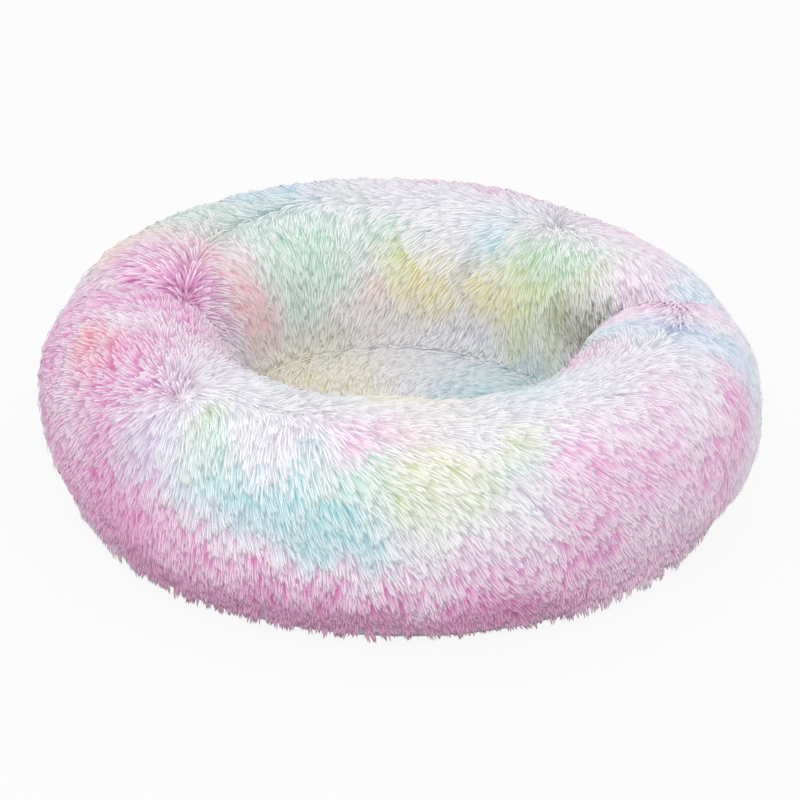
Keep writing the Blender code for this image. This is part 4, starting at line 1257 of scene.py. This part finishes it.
zip_first, zip_last, tape_overhang = 35.0, 145.0, 3.285
tape_inner_edge, tape_outer_edge = 0.0009, 0.0147
coil_pitch, filament_radius, coil_end_gap = 0.0015, 0.00030, 0.07
coil_behind, coil_aside, coil_half_depth, coil_half_width = -0.0010, 0.00185, 0.00068, 0.00085

zip_cloth = woven("pink_zip_tape", linear(206, 136, 178), 0.8, 0.00045, 0.0, sheen_weight=0.15)
for side, sign in (("lower", -1), ("upper", 1)):
    low, high = sorted((sign * tape_inner_edge, sign * tape_outer_edge))
    outline = [zip_point(*p) for p in tape_outline(tape_back, tape_front, low, high)]
    places = band_places(outline, zip_first - tape_overhang, zip_last + tape_overhang, 120)
    tape_mesh = end_caps(sheet_mesh("zip_cloth_" + side, places, closed_along=True))
    tape = show("zip_cloth_" + side, tape_mesh, zip_cloth)
    lay_threads(tape.data, zip_radius)
    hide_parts("zip_tape_" + side)
    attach(tape, "bed")


def coil_tree():
    """One filament wound in a flattened screw along the zip's arc."""
    wanted = {
        "Geometry": "Geometry", "Turns": "Int", "First Angle": "Float", "Last Angle": "Float",
        "Phase": "Float", "Middle Out": "Float", "Middle Up": "Float", "Half Out": "Float",
        "Half Up": "Float", "Filament": "Float", "Arc Radius": "Float", "Arc Height": "Float",
        "Lean": "Float", "Finish": "Material",
    }
    tree, given = new_group("wind_coil", "GeometryNodeTree", wanted, {"Geometry": "Geometry"})
    put, maths = partial(place, tree), partial(sums, tree)
    steps = maths("MULTIPLY", given["Turns"], 7.0)
    line = put("GeometryNodeCurvePrimitiveLine").outputs[0]
    line = {"Curve": line, "Count": maths("ADD", steps, 1.0)}
    line = put("GeometryNodeResampleCurve", line, mode="COUNT").outputs[0]
    share = maths("DIVIDE", put("GeometryNodeInputIndex").outputs[0], steps)
    wound = maths("MULTIPLY", share, maths("MULTIPLY", given["Turns"], 2 * math.pi))
    wound = maths("ADD", wound, given["Phase"])
    out = maths("MULTIPLY_ADD", maths("COSINE", wound), given["Half Out"], given["Middle Out"])
    up = maths("MULTIPLY_ADD", maths("SINE", wound), given["Half Up"], given["Middle Up"])
    lean_cos, lean_sin = maths("COSINE", given["Lean"]), maths("SINE", given["Lean"])
    radius = maths("ADD", maths("MULTIPLY", out, lean_cos), maths("MULTIPLY", up, lean_sin))
    radius = maths("ADD", given["Arc Radius"], radius)
    height = maths("SUBTRACT", maths("MULTIPLY", up, lean_cos), maths("MULTIPLY", out, lean_sin))
    height = maths("ADD", given["Arc Height"], height)
    turn = maths("SUBTRACT", given["Last Angle"], given["First Angle"])
    turn = maths("MULTIPLY_ADD", share, turn, given["First Angle"])
    x, y = (maths("MULTIPLY", maths(way, turn), radius) for way in ("COSINE", "SINE"))
    where = put("ShaderNodeCombineXYZ", {0: x, 1: y, 2: height}).outputs[0]
    line = put("GeometryNodeSetPosition", {"Geometry": line, "Position": where}).outputs[0]
    rod = {"Resolution": 5, "Radius": given["Filament"]}
    rod = put("GeometryNodeCurvePrimitiveCircle", rod, mode="RADIUS").outputs["Curve"]
    coil = {"Curve": line, "Profile Curve": rod, "Fill Caps": True}
    give_out(tree, put("GeometryNodeCurveToMesh", coil).outputs["Mesh"], given["Finish"])
    return tree


filament, filament_nodes, filament_shader = new_finish("pink_nylon_filament", 0.38)
filament_haze = grain(filament_nodes, on_object(filament_nodes), 90.0, 2.0)
filament_colour = blend(
    filament_nodes, filament_haze, linear(196, 120, 166), linear(220, 156, 192)
)
filament_nodes.links.new(filament_colour, filament_shader.inputs["Base Color"])
filament_rough = sums(filament_nodes, "MULTIPLY_ADD", filament_haze, 0.22, 0.26)
filament_nodes.links.new(filament_rough, filament_shader.inputs["Roughness"])

wind_coil = coil_tree()
coil_turns = round(math.radians(zip_last - zip_first) * zip_radius / coil_pitch)
for side, sign, phase in (("lower", -1, 0.0), ("upper", 1, math.pi / 2)):
    coil = grow(
        "zip_filament_" + side,
        wind_coil,
        Turns=coil_turns,
        First_Angle=math.radians(zip_first + coil_end_gap),
        Last_Angle=math.radians(zip_last - coil_end_gap),
        Phase=phase,
        Middle_Out=coil_behind,
        Middle_Up=sign * coil_aside,
        Half_Out=coil_half_depth,
        Half_Up=coil_half_width,
        Filament=filament_radius,
        Arc_Radius=zip_radius,
        Arc_Height=zip_height,
        Lean=zip_lean,
        Finish=filament,
    )
    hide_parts("zip_coil_" + side)
    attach(coil, "bed")

# ---------------------------------------------------------------- slider, pull tab and stops
# Nickel-plated zinc castings: the slider's body with its bridge, a flat pull tab round
# the bridge, and the stops clamped on the coils' ends. Handled edges are worn brighter.

nickel, nickel_nodes, nickel_shader = new_finish("nickel_plate", 0.3, metallic=1.0)
nickel_place = on_object(nickel_nodes)
nickel_cloud = grain(nickel_nodes, nickel_place, 420.0, 4.0)
nickel_streaks = place(
    nickel_nodes,
    "ShaderNodeMapping",
    {"Vector": nickel_place, "Rotation": (0.4, 0.0, 0.6), "Scale": (300.0, 4200.0, 4200.0)},
).outputs[0]
nickel_scratch = grain(nickel_nodes, nickel_streaks, 1.0, 2.0)
nickel_edge = place(nickel_nodes, "ShaderNodeNewGeometry").outputs["Pointiness"]
nickel_worn = range_of(nickel_nodes, nickel_edge, 0.50, 0.62)
nickel_colour = blend(nickel_nodes, nickel_cloud, linear(176, 174, 170), linear(208, 206, 202))
nickel_nodes.links.new(nickel_colour, nickel_shader.inputs["Base Color"])
nickel_rough = sums(nickel_nodes, "MULTIPLY_ADD", nickel_scratch, 0.26, 0.18)
nickel_polish = sums(nickel_nodes, "MULTIPLY", nickel_worn, 0.10)
nickel_rough = sums(nickel_nodes, "SUBTRACT", nickel_rough, nickel_polish)
nickel_nodes.links.new(nickel_rough, nickel_shader.inputs["Roughness"])
emboss(nickel_nodes, nickel_shader, nickel_scratch, 0.15, 0.00005)
stops = ["zip_bottom_stop", "zip_top_stop_upper", "zip_top_stop_lower"]
for name in ["zip_slider", "zip_pull_tab"] + stops:
    for slot in bpy.data.objects[name].material_slots:
        slot.material = nickel

# ---------------------------------------------------------------- stuffed ring
# Loose polyester fibre, blown into a ring-shaped liner of white spun cloth that is sewn
# in two halves. The ring goes in through the zip and fills out the covers.

liner_inset, liner_floor, liner_thickness = 0.0144, 0.0019, 0.0010


def spun_cloth():
    """Thin bonded cloth, white, with small pressed points in rows."""
    material, tree, surface = new_finish("spun_liner_cloth", 0.75, sheen_weight=0.1)
    laid = place(tree, "ShaderNodeUVMap", uv_map="laid").outputs[0]
    points = {"Vector": laid, "Scale": 420.0, "Randomness": 0.08}
    points = place(tree, "ShaderNodeTexVoronoi", points).outputs["Distance"]
    pressed = range_of(tree, points, 0.18, 0.34, interpolation_type="SMOOTHSTEP")
    fibres = grain(tree, laid, 900.0, 3.0, Distortion=1.5)
    shade = sums(tree, "MULTIPLY_ADD", pressed, 0.55, sums(tree, "MULTIPLY", fibres, 0.45))
    colour = blend(tree, shade, linear(206, 206, 202), linear(240, 240, 236))
    tree.links.new(colour, surface.inputs["Base Color"])
    emboss(tree, surface, shade, 0.5, 0.0002)
    return material


liner_cloth = spun_cloth()
ring_angles = np.arange(0, 360, 2.0)
for side, first, last in (("upper", 0.2, 179.8), ("lower", 180.2, 359.8)):
    turns = np.linspace(first, last, 40)
    places = on_ring(ring_angles[:, None], turns, liner_inset, liner_floor)
    liner_mesh = sheet_mesh("ring_liner_" + side, places, closed_across=True)
    liner = show("ring_liner_" + side, liner_mesh, liner_cloth)
    runs = run_along(*section(turns, liner_inset, liner_floor))
    lay_threads(liner_mesh, crest_radius, np.tile(runs, len(ring_angles)))
    thicken(liner, liner_thickness)
    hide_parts("bolster_liner_" + side)
    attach(liner, "bed")

fibre, fibre_nodes, fibre_shader = new_finish("white_polyester_fibre", 0.95, sheen_weight=0.3)
fibre_place = on_object(fibre_nodes)
fibre_strands = grain(fibre_nodes, fibre_place, 170.0, 6.0, Roughness=0.7, Distortion=3.0)
fibre_tufts = sums(fibre_nodes, "MULTIPLY", grain(fibre_nodes, fibre_place, 34.0, 3.0), 0.65)
fibre_height = sums(fibre_nodes, "MULTIPLY_ADD", fibre_strands, 0.35, fibre_tufts)
# Where the relief of the tufts is low, the fibre is painted darker, as shade between the tufts.
fibre_colour = blend(fibre_nodes, fibre_height, linear(214, 214, 212), linear(248, 248, 246))
fibre_nodes.links.new(fibre_colour, fibre_shader.inputs["Base Color"])
emboss(fibre_nodes, fibre_shader, fibre_height, 0.9, 0.002)

fill_angles, fill_turns = np.arange(0, 360, 1.5), np.arange(0, 360, 4.0)
fill_outer, fill_inner = (
    on_ring(fill_angles[:, None], fill_turns, inset, floor)
    for inset, floor in ((0.0160, 0.0034), (0.0215, 0.0090))
)
tufted = 0.30 + 0.34 * waves(fill_outer, 0.030, 8) + 0.16 * waves(fill_outer, 0.012, 9)
tufted = np.clip(tufted, 0, 1)
fill_places = fill_outer + (fill_inner - fill_outer) * tufted[..., None]
fill_mesh = sheet_mesh("ring_fibre", fill_places, closed_across=True, closed_along=True)
fill = show("ring_fibre", close_up(fill_mesh), fibre)
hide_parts("bolster_fibre_fill")
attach(fill, "bed")

# ---------------------------------------------------------------- foam core
# The orthopedic core under the centre panel: firm grey support foam, and on it memory
# foam cut to rounded peaks, both in a liner of spun cloth made as two shallow pans.

core_radius, core_wall = 0.1515, 0.0008
pan_bore = core_radius - core_wall
pan_foot, base_pan_rim, top_pan_rim, pan_head = 0.0019, 0.0280, 0.0283, 0.0554
pans = {
    "base": [
        (0, pan_foot + core_wall), (pan_bore, pan_foot + core_wall), (pan_bore, base_pan_rim),
        (core_radius, base_pan_rim), (core_radius, pan_foot), (0, pan_foot),
    ],
    "top": [
        (0, pan_head), (core_radius, pan_head), (core_radius, top_pan_rim),
        (pan_bore, top_pan_rim), (pan_bore, pan_head - core_wall), (0, pan_head - core_wall),
    ],
}


def softened(outline, cut=0.0003):
    """An outline with its corners taken off."""
    points = [np.array(outline[0], float)]
    for before, corner, after in zip(outline, outline[1:], outline[2:]):
        before, corner, after = (np.array(p, float) for p in (before, corner, after))
        for other in (before, after):
            way = other - corner
            points.append(corner + way / np.linalg.norm(way) * min(cut, np.linalg.norm(way) / 3))
    points.append(np.array(outline[-1], float))
    return [tuple(p) for p in points]


for part, outline in pans.items():
    pan_places = turned_places(softened(outline), 144)
    pan_mesh = close_up(sheet_mesh("core_pan_" + part, pan_places, closed_across=True))
    pan = show("core_pan_" + part, pan_mesh, liner_cloth)
    pan_mesh.set_sharp_from_angle(angle=math.radians(50))
    lay_threads(pan_mesh, core_radius)
    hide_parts("core_liner_" + part)
    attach(pan, "bed")


def pore_group():
    """Open cells of foam at two sizes: how high the cut face is, and how dark its pores are painted
    as shade, with a faint random cloud.
    """
    wanted = {"Cells per Metre": "Float"}
    leaving = {"Height": "Float", "Shade": "Float"}
    tree, given = new_group("open_cells", "ShaderNodeTree", wanted, leaving)
    where, cells = on_object(tree), given["Cells per Metre"]
    large, fine = (
        place(tree, "ShaderNodeTexVoronoi", {"Vector": where, "Scale": scale}).outputs["Distance"]
        for scale in (cells, sums(tree, "MULTIPLY", cells, 2.6))
    )
    height = sums(tree, "MULTIPLY_ADD", large, 0.6, sums(tree, "MULTIPLY", fine, 0.4))
    cloud = sums(tree, "MULTIPLY", grain(tree, where, 14.0, 4.0), 0.35)
    shade = sums(tree, "MULTIPLY_ADD", height, 0.8, cloud)
    place(tree, "NodeGroupOutput", {"Height": height, "Shade": shade})
    return tree


open_cells = pore_group()


def foam(name, deep, face, cells):
    """Cut foam: the colour of the painted shade in its pores, that of its face, and how many cells
    there are.
    """
    material, tree, surface = new_finish(name, 0.95, sheen_weight=0.1)
    inputs = {"Cells per Metre": cells}
    pores = place(tree, "ShaderNodeGroup", inputs, node_tree=open_cells).outputs
    # The pores are painted in the darker colour, as shade in the open cells.
    tree.links.new(blend(tree, pores["Shade"], deep, face), surface.inputs["Base Color"])
    emboss(tree, surface, pores["Height"], 0.6, 0.0006)
    return material


slab_radius, slab_low, slab_high, slab_round = 0.1504, 0.0030, 0.0280, 0.0030
corner = np.radians(np.linspace(0, 90, 6))
slab_outline = [(r, slab_high) for r in np.linspace(0, slab_radius - slab_round, 12)]
for a in corner[1:]:
    inset, drop = slab_round * (1 - math.sin(a)), slab_round * (1 - math.cos(a))
    slab_outline.append((slab_radius - inset, slab_high - drop))
for a in corner:
    inset, lift = slab_round * (1 - math.cos(a)), slab_round * (1 - math.sin(a))
    slab_outline.append((slab_radius - inset, slab_low + lift))
slab_outline += [(r, slab_low) for r in np.linspace(slab_radius - slab_round, 0, 12)[1:]]
slab_places = turned_places(slab_outline, 144)
slab_mesh = close_up(sheet_mesh("support_slab", slab_places, closed_across=True))
grey_foam = foam("grey_support_foam", linear(112, 118, 124), linear(176, 180, 184), 620.0)
slab = show("support_slab", slab_mesh, grey_foam)
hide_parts("support_foam_slab")
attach(slab, "bed")

crate_low, crate_top, crate_depth, crate_radius = 0.0283, 0.0543, 0.010, 0.1498
crate_pitch, crate_count = 0.040, 84
grid = np.linspace(-1, 1, crate_count + 1)
across, along = np.meshgrid(grid, grid, indexing="ij")
crate_x = across * np.sqrt(1 - along**2 / 2) * crate_radius
crate_y = along * np.sqrt(1 - across**2 / 2) * crate_radius
wave = np.cos(2 * np.pi * crate_x / crate_pitch) * np.cos(2 * np.pi * crate_y / crate_pitch)
crate_z = crate_top - crate_depth * (1 - np.sign(wave) * np.abs(wave) ** 0.85) / 2
crate_face = np.stack([crate_x, crate_y, crate_z], -1)
crate_foot = np.stack([crate_x, crate_y, np.full_like(crate_x, crate_low)], -1)
crate_bm = bmesh.new()
face_points = [[crate_bm.verts.new(p) for p in row] for row in crate_face]
foot_points = [[crate_bm.verts.new(p) for p in row] for row in crate_foot]
for points, order in ((face_points, 1), (foot_points, -1)):
    for row, following in zip(points, points[1:]):
        for a, b, c, d in zip(row, following, following[1:], row[1:]):
            crate_bm.faces.new((a, b, c, d)[::order])
edge_at = [(i, 0) for i in range(crate_count)] + [(crate_count, j) for j in range(crate_count)]
edge_at += [(crate_count - i, crate_count) for i in range(crate_count)]
edge_at += [(0, crate_count - j) for j in range(crate_count)]
for (i, j), (k, m) in zip(edge_at, edge_at[1:] + edge_at[:1]):
    crate_bm.faces.new((face_points[i][j], foot_points[i][j], foot_points[k][m], face_points[k][m]))
bmesh.ops.recalc_face_normals(crate_bm, faces=crate_bm.faces)
crate_mesh = bpy.data.meshes.new("memory_topper")
crate_bm.to_mesh(crate_mesh)
crate_bm.free()
crate_mesh.shade_smooth()
crate_mesh.set_sharp_from_angle(angle=math.radians(50))
cream_foam = foam("cream_memory_foam", linear(206, 190, 138), linear(240, 228, 184), 900.0)
topper = show("memory_topper", crate_mesh, cream_foam)
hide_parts("memory_foam_topper")
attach(topper, "bed")
